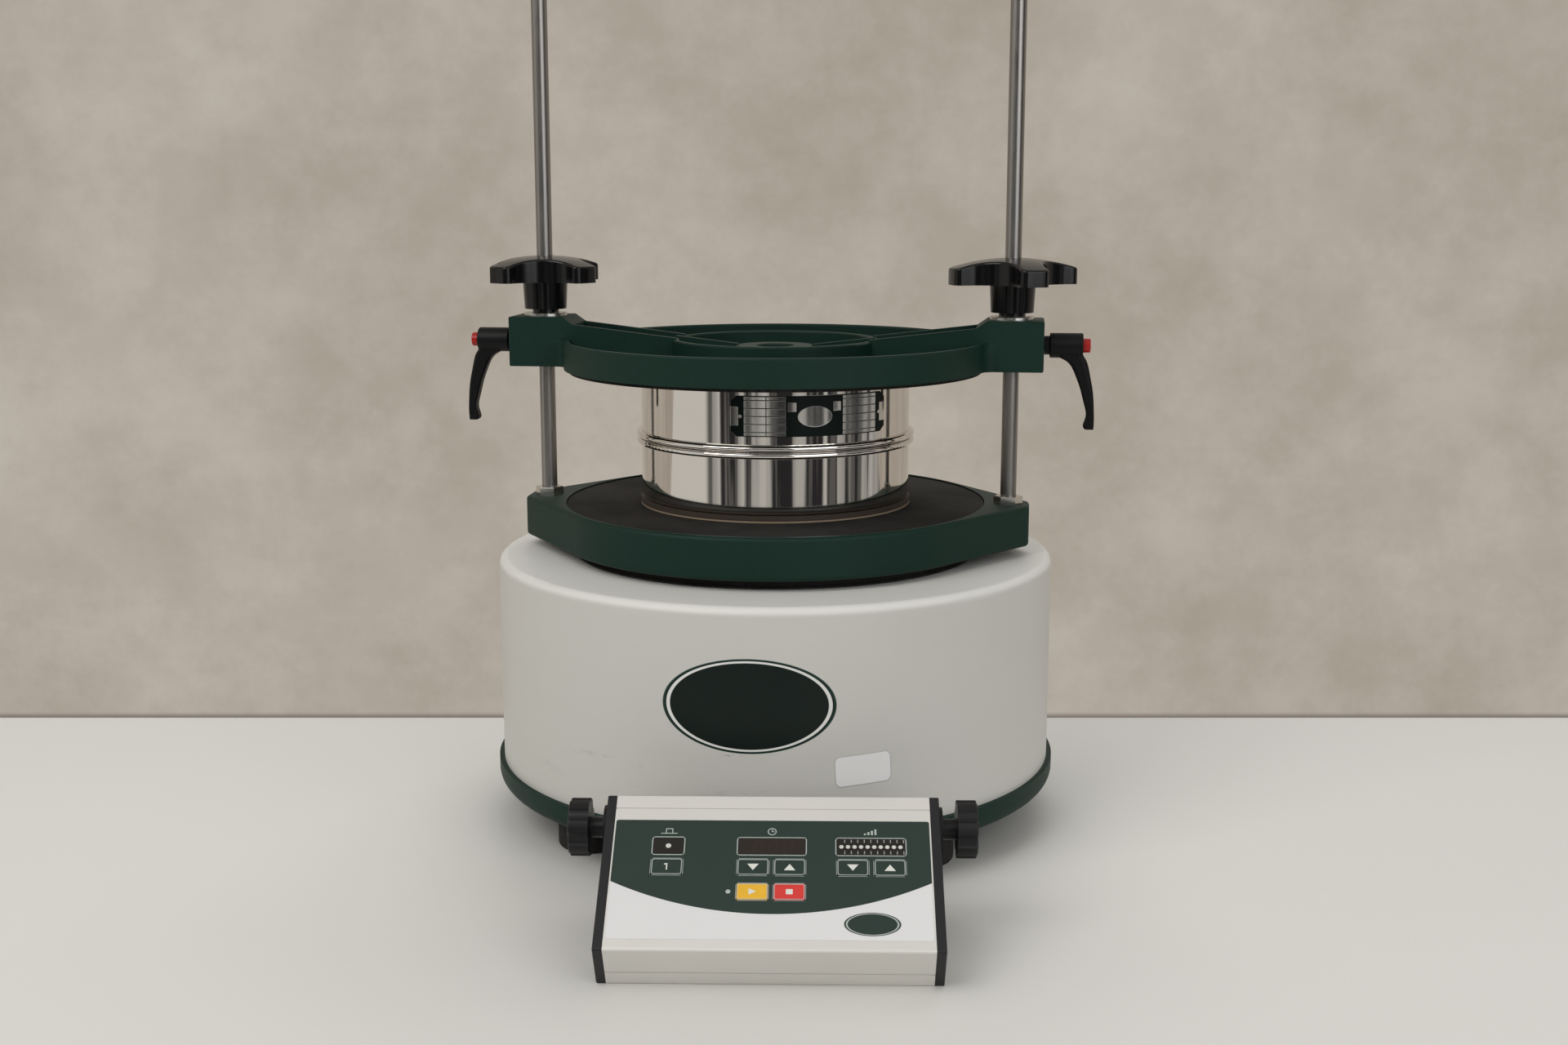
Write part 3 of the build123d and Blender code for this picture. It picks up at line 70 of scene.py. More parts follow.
class Sock:
    """One output socket, so that shader maths reads as plain arithmetic."""

    def __init__(self, paint, socket):
        self.paint = paint
        self.socket = socket

    def math(self, operation, *others):
        return self.paint.math(operation, self, *others)

    def __add__(self, other):
        return self.math("ADD", other)

    def __radd__(self, other):
        return self.math("ADD", other)

    def __sub__(self, other):
        return self.math("SUBTRACT", other)

    def __rsub__(self, other):
        return self.paint.math("SUBTRACT", other, self)

    def __mul__(self, other):
        return self.math("MULTIPLY", other)

    def __rmul__(self, other):
        return self.math("MULTIPLY", other)

    def __truediv__(self, other):
        return self.math("DIVIDE", other)

    def __rtruediv__(self, other):
        return self.paint.math("DIVIDE", other, self)

    def __pow__(self, other):
        return self.math("POWER", other)

    def __neg__(self):
        return self.math("MULTIPLY", -1)

    def __abs__(self):
        return self.math("ABSOLUTE")

    def above(self, edge, soft):
        """0 below the edge, 1 above it, over a soft width."""
        return self.paint.step(self, edge, soft)

    def below(self, edge, soft):
        return 1 - self.above(edge, soft)

    def between(self, low, high, soft):
        return self.above(low, soft) * self.below(high, soft)

    def inside(self, soft=PRINT_EDGE):
        """1 where a signed distance is negative."""
        return self.below(0, soft)

    def at_most_one(self):
        return self.math("MINIMUM", 1)


class Shading:
    """One node tree of a material or of the world, built from named parts."""

    def __init__(self, tree, shader_type, place):
        self.tree = tree
        self.shader = next(n for n in tree.nodes if n.type == shader_type)
        coordinates = tree.nodes.new("ShaderNodeTexCoord")
        self.place = Sock(self, coordinates.outputs[place])

    def connect(self, value, target):
        if isinstance(value, Sock):
            self.tree.links.new(value.socket, target)
        elif hasattr(target.default_value, "__len__") and len(target.default_value) == 4:
            target.default_value = (*value, 1)
        else:
            target.default_value = value

    def node(self, kind, output=0, settings=(), **inputs):
        """A node's output by number or name; its inputs by name, or by number as i0, i1."""
        made = self.tree.nodes.new(f"ShaderNode{kind}")
        for key, value in dict(settings).items():
            setattr(made, key, value)
        for key, value in inputs.items():
            index = int(key[1:]) if key[1:].isdigit() else key.replace("_", " ")
            self.connect(value, made.inputs[index])
        return Sock(self, made.outputs[output])

    def math(self, operation, *values):
        inputs = {f"i{index}": value for index, value in enumerate(values)}
        return self.node("Math", settings={"operation": operation}, **inputs)

    def step(self, value, edge, soft):
        return self.node("MapRange", settings={"interpolation_type": "SMOOTHSTEP"},
                         Value=value, From_Min=edge - soft / 2, From_Max=edge + soft / 2)

    def set(self, **inputs):
        for key, value in inputs.items():
            self.connect(value, self.shader.inputs[key.replace("_", " ")])
        return self

    def noise(self, scale, detail=3, roughness=0.5, stretch=None, place=None):
        place = self.place if place is None else place
        if stretch:
            place = self.node("VectorMath", settings={"operation": "MULTIPLY"},
                              i0=place, i1=stretch)
        return self.node("TexNoise", Vector=place, Scale=scale, Detail=detail,
                         Roughness=roughness)

    def mix(self, share, first, second):
        """Colour from first to second by share."""
        return self.node("Mix", output=2, settings={"data_type": "RGBA"},
                         i0=share, i6=first, i7=second)

    def along(self, direction, origin=ORIGIN):
        """Distance of the place from the origin, along a direction."""
        moved = self.node("VectorMath", settings={"operation": "SUBTRACT"},
                          i0=self.place, i1=tuple(origin))
        return self.node("VectorMath", output=1, settings={"operation": "DOT_PRODUCT"},
                         i0=moved, i1=tuple(direction))

    def ray(self, kind):
        """1 for a Camera, Glossy or Transmission ray."""
        return self.node("LightPath", output=f"Is {kind} Ray")


class Paint(Shading):
    """One material with a Principled shader on object coordinates."""

    def __init__(self, name, **uniform):
        self.material = bpy.data.materials.new(name)
        self.material.use_nodes = True
        super().__init__(self.material.node_tree, "BSDF_PRINCIPLED", "Object")
        self.set(**uniform)

    def bump(self, height, distance):
        return self.set(Normal=self.node("Bump", Height=height, Distance=distance))

    def box(self, x, y, width, height, corner):
        """Signed distance to a rounded rectangle, negative inside."""
        over_x = abs(x) - (width / 2 - corner)
        over_y = abs(y) - (height / 2 - corner)
        outside = (over_x.math("MAXIMUM", 0) ** 2 + over_y.math("MAXIMUM", 0) ** 2) ** 0.5
        inside = over_x.math("MAXIMUM", over_y).math("MINIMUM", 0)
        return outside + inside - corner

    def oval(self, x, y, width, height):
        """Signed distance to an ellipse, near enough for thin rims."""
        ratio = ((x / (width / 2)) ** 2 + (y / (height / 2)) ** 2) ** 0.5
        return (ratio - 1) * (height / 2)

    def dot(self, x, y, size):
        """1 in a round lamp of a size."""
        return self.oval(x, y, size, size).inside(LAMP_EDGE)

    def round_drum(self, radius, turn):
        """Distance along a round face from a turn right of its front, and the height."""
        x = self.along(RIGHT, (DRUM_X, DRUM_Y, 0))
        y = self.along(BACK, (DRUM_X, DRUM_Y, 0))
        angle = x.math("ARCTAN2", -y) - radians(turn)
        return angle * radius, self.along(UP)


def line(distance, width, soft=PRINT_EDGE):
    """1 on the line where the distance is 0."""
    return abs(distance).below(width / 2, soft)


def lighter(colour, factor, lift):
    return tuple(channel * factor + lift for channel in colour)


# Finishes that several pieces share
DUST = (0.11, 0.1, 0.09)


def powder_coat(name, colour, rough):
    """Satin paint with smudges, specks and a fine orange peel."""
    paint = Paint(name, Specular_IOR_Level=0.2)
    smudge = paint.noise(18, detail=4)
    speck = paint.noise(900, detail=2)
    paint.set(Base_Color=paint.mix(smudge * 0.5 + speck * 0.3, colour,
                                   lighter(colour, 1.4, 0.0015)),
              Roughness=rough + smudge * 0.12 + speck * 0.1)
    peel = paint.noise(1400, detail=2) + paint.noise(420, detail=2) * 0.5
    return paint.bump(peel, 0.00012)


def rubber(name, colour, dust, grain):
    """Matt rubber with dust in patches."""
    paint = Paint(name, Specular_IOR_Level=0.12)
    cloud = paint.noise(14, detail=5, roughness=0.6)
    speck = paint.noise(grain, detail=3, roughness=0.6)
    powder = cloud.above(0.45, 0.5) * speck.above(0.4, 0.3) * dust
    paint.set(Base_Color=paint.mix(powder, colour, DUST), Roughness=0.62 + speck * 0.25)
    return paint.bump(speck, 0.0002)


def metal(name, colour, rough, grain=(1, 1, 1), depth=0.00001, tint=0.12, scale=900):
    """Metal with fine lines; grain stretches them, so a small number runs them that way."""
    paint = Paint(name, Metallic=1.0)
    lines = paint.noise(scale, detail=3, roughness=0.6, stretch=grain)
    haze = paint.noise(22, detail=4)
    darker = tuple(channel * (1 - tint) for channel in colour)
    paint.set(Base_Color=paint.mix(lines * 0.5 + haze * 0.5, darker, colour),
              Roughness=rough * (0.75 + haze * 0.5) + lines * rough * 0.3)
    return paint.bump(lines, depth)


def plastic(name, colour, rough, texture=0.00004, scale=1100, gloss=0.3):
    """Moulded plastic with a fine grain and a little haze."""
    paint = Paint(name, Specular_IOR_Level=gloss)
    grain = paint.noise(scale, detail=2)
    haze = paint.noise(30, detail=4)
    paint.set(Base_Color=paint.mix(haze * 0.6, colour, lighter(colour, 1.5, 0.001)),
              Roughness=rough * (0.85 + haze * 0.3) + grain * rough * 0.15)
    return paint.bump(grain, texture)


# Drum: places on its face are a turn in degrees right of the front, and a height
DRUM_PALE = ((0.555, 0.542, 0.51), (0.61, 0.6, 0.57))
# Lighter paint for the drum's upper face: painted light, as if lit from above.
DRUM_TOP_PAINTED_LIGHT = ((0.7, 0.69, 0.66), (0.74, 0.73, 0.7))
DRUM_TOP_EDGE = 0.004
SCUFF_LOW, SCUFF_HIGH = 0.07, 0.104
SCUFF_LEFT, SCUFF_RIGHT = -0.16, 0.03
SCUFF_DARK = (0.12, 0.115, 0.1)
BADGE_TURN, BADGE_Z = 2.65, 0.135
BADGE_WIDTH, BADGE_HEIGHT = 0.118, 0.065
BADGE_GREEN = ((0.001, 0.006, 0.0045), (0.002, 0.0085, 0.0065))
BADGE_RIM_IN, BADGE_RIM_WIDTH, BADGE_RIM = 0.0018, 0.0014, (0.72, 0.72, 0.7)
BADGE_OUTLINE_WIDTH, BADGE_OUTLINE = 0.0008, (0.01, 0.04, 0.03)
STICKER_TURN, STICKER_Z, STICKER_LEAN = 24, 0.0888, 3
STICKER_WIDTH, STICKER_HEIGHT, STICKER_CORNER = 0.04, 0.0213, 0.0042
STICKER_WHITE, STICKER_CUT = (0.8, 0.8, 0.8), (0.45, 0.44, 0.42)


def drum_paint():
    """Pale paint, with painted light making its upper face lighter, faint scuffs, a bare badge and a bare sticker.
    """
    paint = Paint("drum_paint", Specular_IOR_Level=0.25)
    around, height = paint.round_drum(DRUM_R, 0)
    mottle = paint.noise(7, detail=4)
    fine = paint.noise(700, detail=2)
    # Painted light: the band at the drum's upper face is painted lighter.
    lit_band = height.above(drum_high[2] - DRUM_TOP_EDGE, DRUM_TOP_EDGE)
    body = paint.mix(lit_band, paint.mix(mottle, *DRUM_PALE), paint.mix(mottle, *DRUM_TOP_PAINTED_LIGHT))

    # Faint dark scuffs low on the front
    band = (height.between(SCUFF_LOW, SCUFF_HIGH, 0.026)
            * around.between(SCUFF_LEFT, SCUFF_RIGHT, 0.05))
    streak = paint.noise(260, detail=4, roughness=0.7, stretch=(0.22, 0.22, 1))
    patch = paint.noise(26, detail=3)
    scuff = streak.above(0.65, 0.05) * patch.above(0.55, 0.1) * band
    rub = paint.noise(60, detail=4, roughness=0.6, stretch=(0.35, 0.35, 1))
    rub = rub.above(0.62, 0.12) * band * 0.2
    body = paint.mix(scuff * 0.6 + rub, body, SCUFF_DARK)

    # Bare oval badge with a thin pale rim
    badge_x, badge_z = paint.round_drum(DRUM_R, BADGE_TURN)
    badge = paint.oval(badge_x, badge_z - BADGE_Z, BADGE_WIDTH, BADGE_HEIGHT)
    face = badge.inside()
    body = paint.mix(face, body, paint.mix(paint.noise(40, detail=3), *BADGE_GREEN))
    body = paint.mix(line(badge + BADGE_RIM_IN, BADGE_RIM_WIDTH), body, BADGE_RIM)
    body = paint.mix(line(badge, BADGE_OUTLINE_WIDTH), body, BADGE_OUTLINE)

    # Small bare sticker, set a little askew
    sticker_x, sticker_z = paint.round_drum(DRUM_R, STICKER_TURN)
    lean = radians(STICKER_LEAN)
    level_x = sticker_x * cos(lean) + (sticker_z - STICKER_Z) * sin(lean)
    level_z = (sticker_z - STICKER_Z) * cos(lean) - sticker_x * sin(lean)
    sticker = paint.box(level_x, level_z, STICKER_WIDTH, STICKER_HEIGHT, STICKER_CORNER)
    paper = sticker.inside()
    body = paint.mix(paper, body, STICKER_WHITE)
    body = paint.mix(line(sticker, 0.0006, 0.0004), body, STICKER_CUT)

    paint.set(Base_Color=body,
              Roughness=0.36 + mottle * 0.08 + fine * 0.05 + scuff * 0.2 - face * 0.12)
    raised = face * 0.00022 + paper * 0.0002
    return paint.bump(raised + fine * 0.00002 - scuff * 0.00003, 1.0)


# Control unit: places on its panel are metres across it, and up its slope from the front
UNIT_AHEAD = 106 * MM
UNIT_PALE = ((0.655, 0.64, 0.61), (0.75, 0.735, 0.705))
GREEN_PRINT, GREEN_PRINT_LIGHT = (0.0055, 0.0235, 0.019), (0.007, 0.028, 0.0225)
WHITE_PRINT = (0.71, 0.71, 0.715)
PALE_LINE = (0.42, 0.46, 0.44)
THIN_LINE = 0.0006
ARC_LOW, ARC_R = 0.0263, 0.219
KEY_W, KEY_H = 0.0192, 0.012
UPPER_KEYS, LOWER_KEYS = 0.0612, 0.0427
KEYS = {
    "key_interval": (-0.065, UPPER_KEYS, "digit"),
    "key_time_down": (-0.0114, UPPER_KEYS, "down"),
    "key_time_up": (0.0114, UPPER_KEYS, "up"),
    "key_power_down": (0.0505, UPPER_KEYS, "down"),
    "key_power_up": (0.0736, UPPER_KEYS, "up"),
    "key_start": (-0.0114, LOWER_KEYS, "start"),
    "key_stop": (0.0114, LOWER_KEYS, "stop"),
}
KEY_COLOURS = {"start": (0.75, 0.42, 0.02), "stop": (0.62, 0.03, 0.025)}
KEY_SIGN = (0.7, 0.71, 0.66)
START_LAMP_X, START_LAMP = -0.0262, 0.003
VIEW_UP, VIEW_H = 0.0773, 0.0125
LEFT_VIEW_X, RIGHT_VIEW_X = -0.0648, 0.062
VIEWS = ((LEFT_VIEW_X, 0.019), (0.0, 0.042), (RIGHT_VIEW_X, 0.0427))
SIGNS_UP = 0.0888
FIRST_BAR_X, BAR_STEP, BAR_WIDTH = 0.0584, 0.0022, 0.0013
PANEL_OVAL_X, PANEL_OVAL_UP, PANEL_OVAL_SIZE = 0.062, 0.0194, (0.0345, 0.017)
SINGLE_LAMP = 0.0034
LEVEL_LAMPS, LEVEL_LAMP, LEVEL_STEP = 10, 0.0027, 0.0041
DIGIT_WIDTH, DIGIT_HEIGHT, DIGIT_STEP, DIGIT_LEAN = 0.0048, 0.0078, 0.0095, 0.12
WINDOW_DARK, RED_GLASS, RED_GLASS_HALF = (0.006, 0.006, 0.006), (0.012, 0.008, 0.007), 0.021
DIGIT_DARK, LAMP_PALE, TICK_GREY = (0.03, 0.016, 0.013), (0.62, 0.62, 0.58), (0.32, 0.33, 0.31)


def unit_place(paint):
    """Place on the control unit: across it, and up its slope from the front."""
    across = paint.along(ALONG, UNIT_ORIGIN)
    up = paint.along(UPHILL, UNIT_ORIGIN) + UNIT_AHEAD
    return across, up


def foil():
    """Front foil: white below an arc and green above it, with rims round keys and windows."""
    paint = Paint("front_foil", Coat_Weight=0.3, Coat_Roughness=0.25)
    across, up = unit_place(paint)
    reach = (across ** 2 + (up - ARC_LOW - ARC_R) ** 2) ** 0.5
    above_arc = reach.below(ARC_R, PRINT_EDGE)
    green = paint.mix(paint.noise(24, detail=3), GREEN_PRINT, GREEN_PRINT_LIGHT)
    colour = paint.mix(above_arc, WHITE_PRINT, green)
    rims = 0
    for x, width in VIEWS:
        box = paint.box(across - x, up - VIEW_UP, width + 0.0012, VIEW_H + 0.0012, 0.002)
        rims = rims + line(box, THIN_LINE)
    for x, height, _ in KEYS.values():
        box = paint.box(across - x, up - height, KEY_W + 0.001, KEY_H + 0.001, 0.0018)
        rims = rims + line(box, THIN_LINE / 2)
    lamp = paint.dot(across - START_LAMP_X, up - LOWER_KEYS, START_LAMP)
    marks = (rims + lamp).at_most_one() * above_arc
    oval = paint.oval(across - PANEL_OVAL_X, up - PANEL_OVAL_UP, *PANEL_OVAL_SIZE)
    colour = paint.mix(marks, colour, PALE_LINE)
    colour = paint.mix(oval.inside(), colour, GREEN_PRINT)
    colour = paint.mix(line(oval + 0.0008, 0.0005, 0.0002), colour, PALE_LINE)
    colour = paint.mix(pictograms(paint, across, up), colour, PALE_LINE)
    paint.set(Base_Color=colour, Roughness=0.34 + paint.noise(50, detail=3) * 0.1)
    return paint.bump(paint.noise(1600, detail=2) * 0.3 + rims, 0.00006)


def pictograms(paint, across, up):
    """Plain signs above the windows: a pulse, a clock face and rising bars."""
    side, rise = across - LEFT_VIEW_X, up - SIGNS_UP
    pulse = (line(paint.box(side, rise, 0.004, 0.0036, 0.0002), THIN_LINE)
             + line(rise + 0.0018, THIN_LINE) * abs(side).between(0.002, 0.0052, PRINT_EDGE))
    clock = (line(paint.oval(across, rise, 0.005, 0.005), THIN_LINE)
             + line(across, THIN_LINE) * rise.between(0, 0.0018, PRINT_EDGE)
             + line(rise, THIN_LINE) * across.between(0, 0.0014, PRINT_EDGE))
    bars = 0
    for index in range(4):
        tall = 0.0012 + index * 0.0011
        bar = paint.box(across - FIRST_BAR_X - index * BAR_STEP,
                        rise + BAR_STEP - tall / 2, BAR_WIDTH, tall, 0.0001)
        bars = bars + bar.inside(0.0002)
    return (pulse + clock + bars).at_most_one()


def key_film(name):
    """Film over one key, with its sign in the middle."""
    x, height, sign = KEYS[name]
    base = KEY_COLOURS.get(sign, GREEN_PRINT)
    paint = Paint(f"film_{name}", Coat_Weight=0.3, Coat_Roughness=0.2)
    across, up = unit_place(paint)
    side, rise = across - x, up - height
    if sign in ("down", "up"):
        tip = -rise if sign == "down" else rise
        mark = ((abs(side) * 1.35 + tip - 0.0024).inside()
                * (tip + 0.0024).above(0, PRINT_EDGE))
    elif sign == "start":
        mark = ((abs(rise) * 1.9 + side - 0.0024).inside()
                * (side + 0.0022).above(0, PRINT_EDGE))
    elif sign == "stop":
        mark = paint.box(side, rise, 0.0042, 0.0038, 0.0001).inside()
    else:
        stem = paint.box(side, rise, 0.0008, 0.005, 0.0001)
        flag = paint.box(side + 0.0008, rise - 0.0018, 0.0018, 0.0008, 0.0001)
        mark = (stem.inside(0.0002) + flag.inside(0.0002)).at_most_one()
    rim = line(paint.box(side, rise, KEY_W - 0.0008, KEY_H - 0.0008, 0.0014), 0.0005)
    wear = paint.noise(130, detail=3)
    colour = paint.mix(wear * 0.5, base, lighter(base, 1.25, 0.004))
    colour = paint.mix(mark, colour, KEY_SIGN)
    colour = paint.mix(rim, colour, PALE_LINE)
    paint.set(Base_Color=colour, Roughness=0.3 + wear * 0.12)
    return paint.bump(paint.noise(1500, detail=2), 0.00004)


def windows():
    """Dark windows: one lamp on the left, three unlit digits in the middle, and ten lamps
    with ticks on the right."""
    paint = Paint("display_windows", Coat_Weight=0.35, Coat_Roughness=0.08)
    across, up = unit_place(paint)
    rise = up - VIEW_UP
    single = paint.dot(across - LEFT_VIEW_X, rise, SINGLE_LAMP)
    lamps, ticks = 0, 0
    for index in range(LEVEL_LAMPS):
        x = RIGHT_VIEW_X + (index - (LEVEL_LAMPS - 1) / 2) * LEVEL_STEP
        lamps = lamps + paint.dot(across - x, rise, LEVEL_LAMP)
        ticks = ticks + (line(across - x - LEVEL_STEP / 2, THIN_LINE)
                         * abs(rise).above(0.0032, PRINT_EDGE))
    digits = 0
    for index in range(3):
        x = (index - 1) * DIGIT_STEP + 0.001
        digit = paint.box(across - x - rise * DIGIT_LEAN, rise,
                          DIGIT_WIDTH, DIGIT_HEIGHT, 0.0008)
        middle = line(rise, THIN_LINE) * line(across - x, DIGIT_WIDTH)
        digits = digits + line(digit, 0.0008) + middle
    glass = abs(rise).below(0.0056, PRINT_EDGE)
    red_glass = across.between(-RED_GLASS_HALF, RED_GLASS_HALF, 0.0004)
    colour = paint.mix(red_glass, WINDOW_DARK, RED_GLASS)
    colour = paint.mix(digits.at_most_one() * 0.5, colour, DIGIT_DARK)
    colour = paint.mix((single + lamps).at_most_one() * glass, colour, LAMP_PALE)
    colour = paint.mix(ticks.at_most_one() * glass, colour, TICK_GREY)
    paint.set(Base_Color=colour, Roughness=0.12 + paint.noise(60, detail=3) * 0.06)
    return paint.bump(paint.noise(500, detail=2), 0.00001)


def unit_metal():
    """Pale anodised profile, with fine lines along its length."""
    paint = Paint("unit_aluminium", Metallic=0.25)
    across, up = unit_place(paint)
    out = paint.along(OUTWARD, UNIT_ORIGIN)
    lay = paint.node("CombineXYZ", X=across * 0.02, Y=up, Z=out)
    lines = paint.noise(2600, detail=3, roughness=0.6, place=lay)
    haze = paint.noise(12, detail=3)
    paint.set(Base_Color=paint.mix(lines * 0.4 + haze * 0.6, *UNIT_PALE),
              Roughness=0.36 + lines * 0.14 + haze * 0.06)
    return paint.bump(lines, 0.000012)


# Sieve stack: the label's fields are measured from its middle
LABEL_R, LABEL_TURN = 0.1029, 23.7
LABEL_GREEN, LABEL_BARE = ((0.001, 0.005, 0.0038), (0.002, 0.008, 0.006)), (0.66, 0.65, 0.62)
TABLE_IN, TABLE_OUT, TABLE_HALF_HEIGHT = 0.0215, 0.0515, 0.0139
TABLE_COLUMN, TABLE_ROW, WHOLE_ROWS = 0.0355, 0.0057, 100.5
SQUARE_SIDE, SQUARE_UP, SQUARE_SIZE = 0.0168, 0.0066, (0.006, 0.0064)
LABEL_OVAL_DOWN, LABEL_OVAL_SIZE = 0.0003, (0.0255, 0.0148)
END_FROM, END_HALF_HEIGHT = 0.0557, 0.0067
# The disc's side is painted darker as painted shade; its lower edge keeps a pale tan.
DISC_SIDE_PAINTED_SHADE = ((0.035, 0.026, 0.02), (0.06, 0.045, 0.034))
DISC_CUT, DISC_CUT_HEIGHT = (0.26, 0.2, 0.14), 0.0012
WIRES_PER_METRE, WHOLE_WIRES = 1000, 500
# Mesh openings are painted dark: painted shade for the space seen through the weave.
WIRE_STEEL, MESH_OPENING_SHADE = (0.5, 0.46, 0.4), (0.05, 0.045, 0.04)


def label_film():
    """Sieve label: dark green print with bright fields left bare: two ruled tables, two
    squares, an oval and the riveted ends."""
    paint = Paint("label_film", Specular_IOR_Level=0.15)
    low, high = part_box("sieve_label")
    around, height = paint.round_drum(LABEL_R, LABEL_TURN)
    side, rise = abs(around), height - (low[2] + high[2]) / 2
    print_mix = paint.noise(60, detail=3)
    green = paint.mix(print_mix, *LABEL_GREEN)

    row = line((rise / TABLE_ROW + WHOLE_ROWS).math("FRACT") - 0.5, 0.1, 0.04)
    column = line(side - TABLE_COLUMN, 0.0005)
    tables = (side.between(TABLE_IN, TABLE_OUT, PRINT_EDGE)
              * abs(rise).below(TABLE_HALF_HEIGHT, PRINT_EDGE) * (1 - row) * (1 - column))
    squares = paint.box(side - SQUARE_SIDE, rise - SQUARE_UP, *SQUARE_SIZE, 0.0002)
    oval = paint.oval(around, rise + LABEL_OVAL_DOWN, *LABEL_OVAL_SIZE)
    ends = side.above(END_FROM, PRINT_EDGE) * abs(rise).below(END_HALF_HEIGHT, PRINT_EDGE)
    bare = (tables + squares.inside(0.0002) + oval.inside() + ends).at_most_one()
    paint.set(Base_Color=paint.mix(bare, green, LABEL_BARE),
              Metallic=bare * 0.95,
              Roughness=0.26 - bare * 0.18 + print_mix * 0.06)
    return paint.bump(1 - bare + paint.noise(900, detail=2) * 0.2, 0.00003)


def disc_paint():
    """Brown sheet disc, its side painted darker as painted shade and its lower edge left pale."""
    paint = Paint("disc_tan", Specular_IOR_Level=0.3)
    low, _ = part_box("stack_disc")
    height = paint.along(UP, (0, 0, low[2]))
    pale_edge = height.below(DISC_CUT_HEIGHT, 0.0008)
    fibre = paint.noise(300, detail=4, stretch=(1, 1, 3))
    # Painted shade: the side is darker above the pale lower edge.
    side = paint.mix(fibre, *DISC_SIDE_PAINTED_SHADE)
    paint.set(Base_Color=paint.mix(pale_edge, side, DISC_CUT), Roughness=0.5 + fibre * 0.2)
    return paint.bump(fibre, 0.00003)


def woven_mesh():
    """Sieve mesh: fine square weave, with painted shade in the openings between the wires."""
    paint = Paint("sieve_mesh", Metallic=0.9)
    from_wire = [abs((paint.along(way) * WIRES_PER_METRE + WHOLE_WIRES).math("FRACT") - 0.5)
                 for way in (RIGHT, BACK)]
    opening = from_wire[0].below(0.3, 0.1) * from_wire[1].below(0.3, 0.1)
    paint.set(Base_Color=paint.mix(opening, WIRE_STEEL, MESH_OPENING_SHADE),
              Roughness=0.35 + opening * 0.4)
    return paint.bump(1 - opening, 0.0002)


# Every material slot of the record, with its finish
UPRIGHT_LINES = (1, 1, 0.05)
PAINTS = {
    "green_paint": powder_coat("green_paint", (0.003, 0.0195, 0.0135), 0.42),
    "drum_paint": drum_paint(),
    "foot_rubber": rubber("foot_rubber", (0.015, 0.015, 0.015), 0.25, 500),
    "seal_rubber": rubber("seal_rubber", (0.01, 0.01, 0.01), 0.2, 500),
    "mat_rubber": rubber("mat_rubber", (0.0035, 0.0033, 0.0031), 0.24, 420),
    "buffer_rubber": rubber("buffer_rubber", (0.014, 0.014, 0.014), 0.1, 500),
    "fastener_steel": metal("fastener_steel", (0.7, 0.68, 0.64), 0.2),
    "weight_iron": metal("weight_iron", (0.18, 0.17, 0.16), 0.6, depth=0.0002, scale=300),
    "core_steel": metal("core_steel", (0.3, 0.3, 0.31), 0.4, grain=(1, 6, 1)),
    "coil_copper": metal("coil_copper", (0.6, 0.26, 0.1), 0.35, grain=(1, 1, 8)),
    "head_aluminium": metal("head_aluminium", (0.72, 0.72, 0.72), 0.35),
    "plate_grey": plastic("plate_grey", (0.16, 0.16, 0.155), 0.45),
    "black_plastic": plastic("black_plastic", (0.014, 0.014, 0.015), 0.45),
    "rocker_plastic": plastic("rocker_plastic", (0.012, 0.012, 0.012), 0.2),
    "pin_brass": metal("pin_brass", (0.75, 0.6, 0.32), 0.25),
    "disc_tan": disc_paint(),
    "sieve_steel": metal("sieve_steel", (0.78, 0.75, 0.71), 0.05, grain=UPRIGHT_LINES,
                         depth=0.000002, tint=0.05),
    "mesh_steel": woven_mesh(),
    "label_green": label_film(),
    "rod_steel": metal("rod_steel", (0.33, 0.315, 0.3), 0.28, grain=UPRIGHT_LINES,
                       depth=0.000001, tint=0.15),
    "knob_black": plastic("knob_black", (0.0028, 0.0028, 0.0032), 0.16,
                          texture=0.00001, scale=240, gloss=0.32),
    "lever_black": plastic("lever_black", (0.0032, 0.0032, 0.0036), 0.42,
                           texture=0.00001, gloss=0.18),
    "button_red": plastic("button_red", (0.32, 0.011, 0.01), 0.25,
                          texture=0.000005, scale=300),
    "unit_aluminium": unit_metal(),
    "cap_black": plastic("cap_black", (0.014, 0.014, 0.016), 0.42),
    "side_knob_black": plastic("side_knob_black", (0.007, 0.007, 0.008), 0.36),
    "foil_print": foil(),
    "window_dark": windows(),
    "board_green": plastic("board_green", (0.01, 0.08, 0.03), 0.35),
    "switch_black": plastic("switch_black", (0.015, 0.015, 0.015), 0.4),
    "stand_black": powder_coat("stand_black", (0.012, 0.012, 0.013), 0.4),
}


def paint_frame():
    for entry in frame["record"]["subparts"]:
        node, slot = entry["node"], entry["material_slot"]
        paint = key_film(node) if node in KEYS else PAINTS[slot]
        mesh = frame["nodes"][node].data
        mesh.materials.clear()
        mesh.materials.append(paint.material)


paint_frame()

# Stage: a pale table with a plain wall behind it, square to the camera
WALL_BEHIND = 0.222
STAGE_HALF = 30.0
WALL_FOOT = 0.003
TABLE_REACH = 0.95
LAMP_REACH = 1.9
BLACK = (0, 0, 0)
FLOOR_PALE, FLOOR_FAR = ((0.715, 0.705, 0.68), (0.66, 0.65, 0.62)), (0.6, 0.59, 0.565)
# The wall's foot is painted darker: a painted shadow where the wall meets the table.
WALL_PALE, WALL_FOOT_SHADOW = ((0.345, 0.3, 0.25), (0.5, 0.455, 0.395)), (0.2, 0.175, 0.15)


def shown_to_viewer(paint):
    """1 where the camera, a mirror or glass looks at the front of a surface."""
    seen = paint.ray("Camera") + paint.ray("Glossy") + paint.ray("Transmission")
    return seen.at_most_one() * (1 - paint.node("NewGeometry", output="Backfacing"))


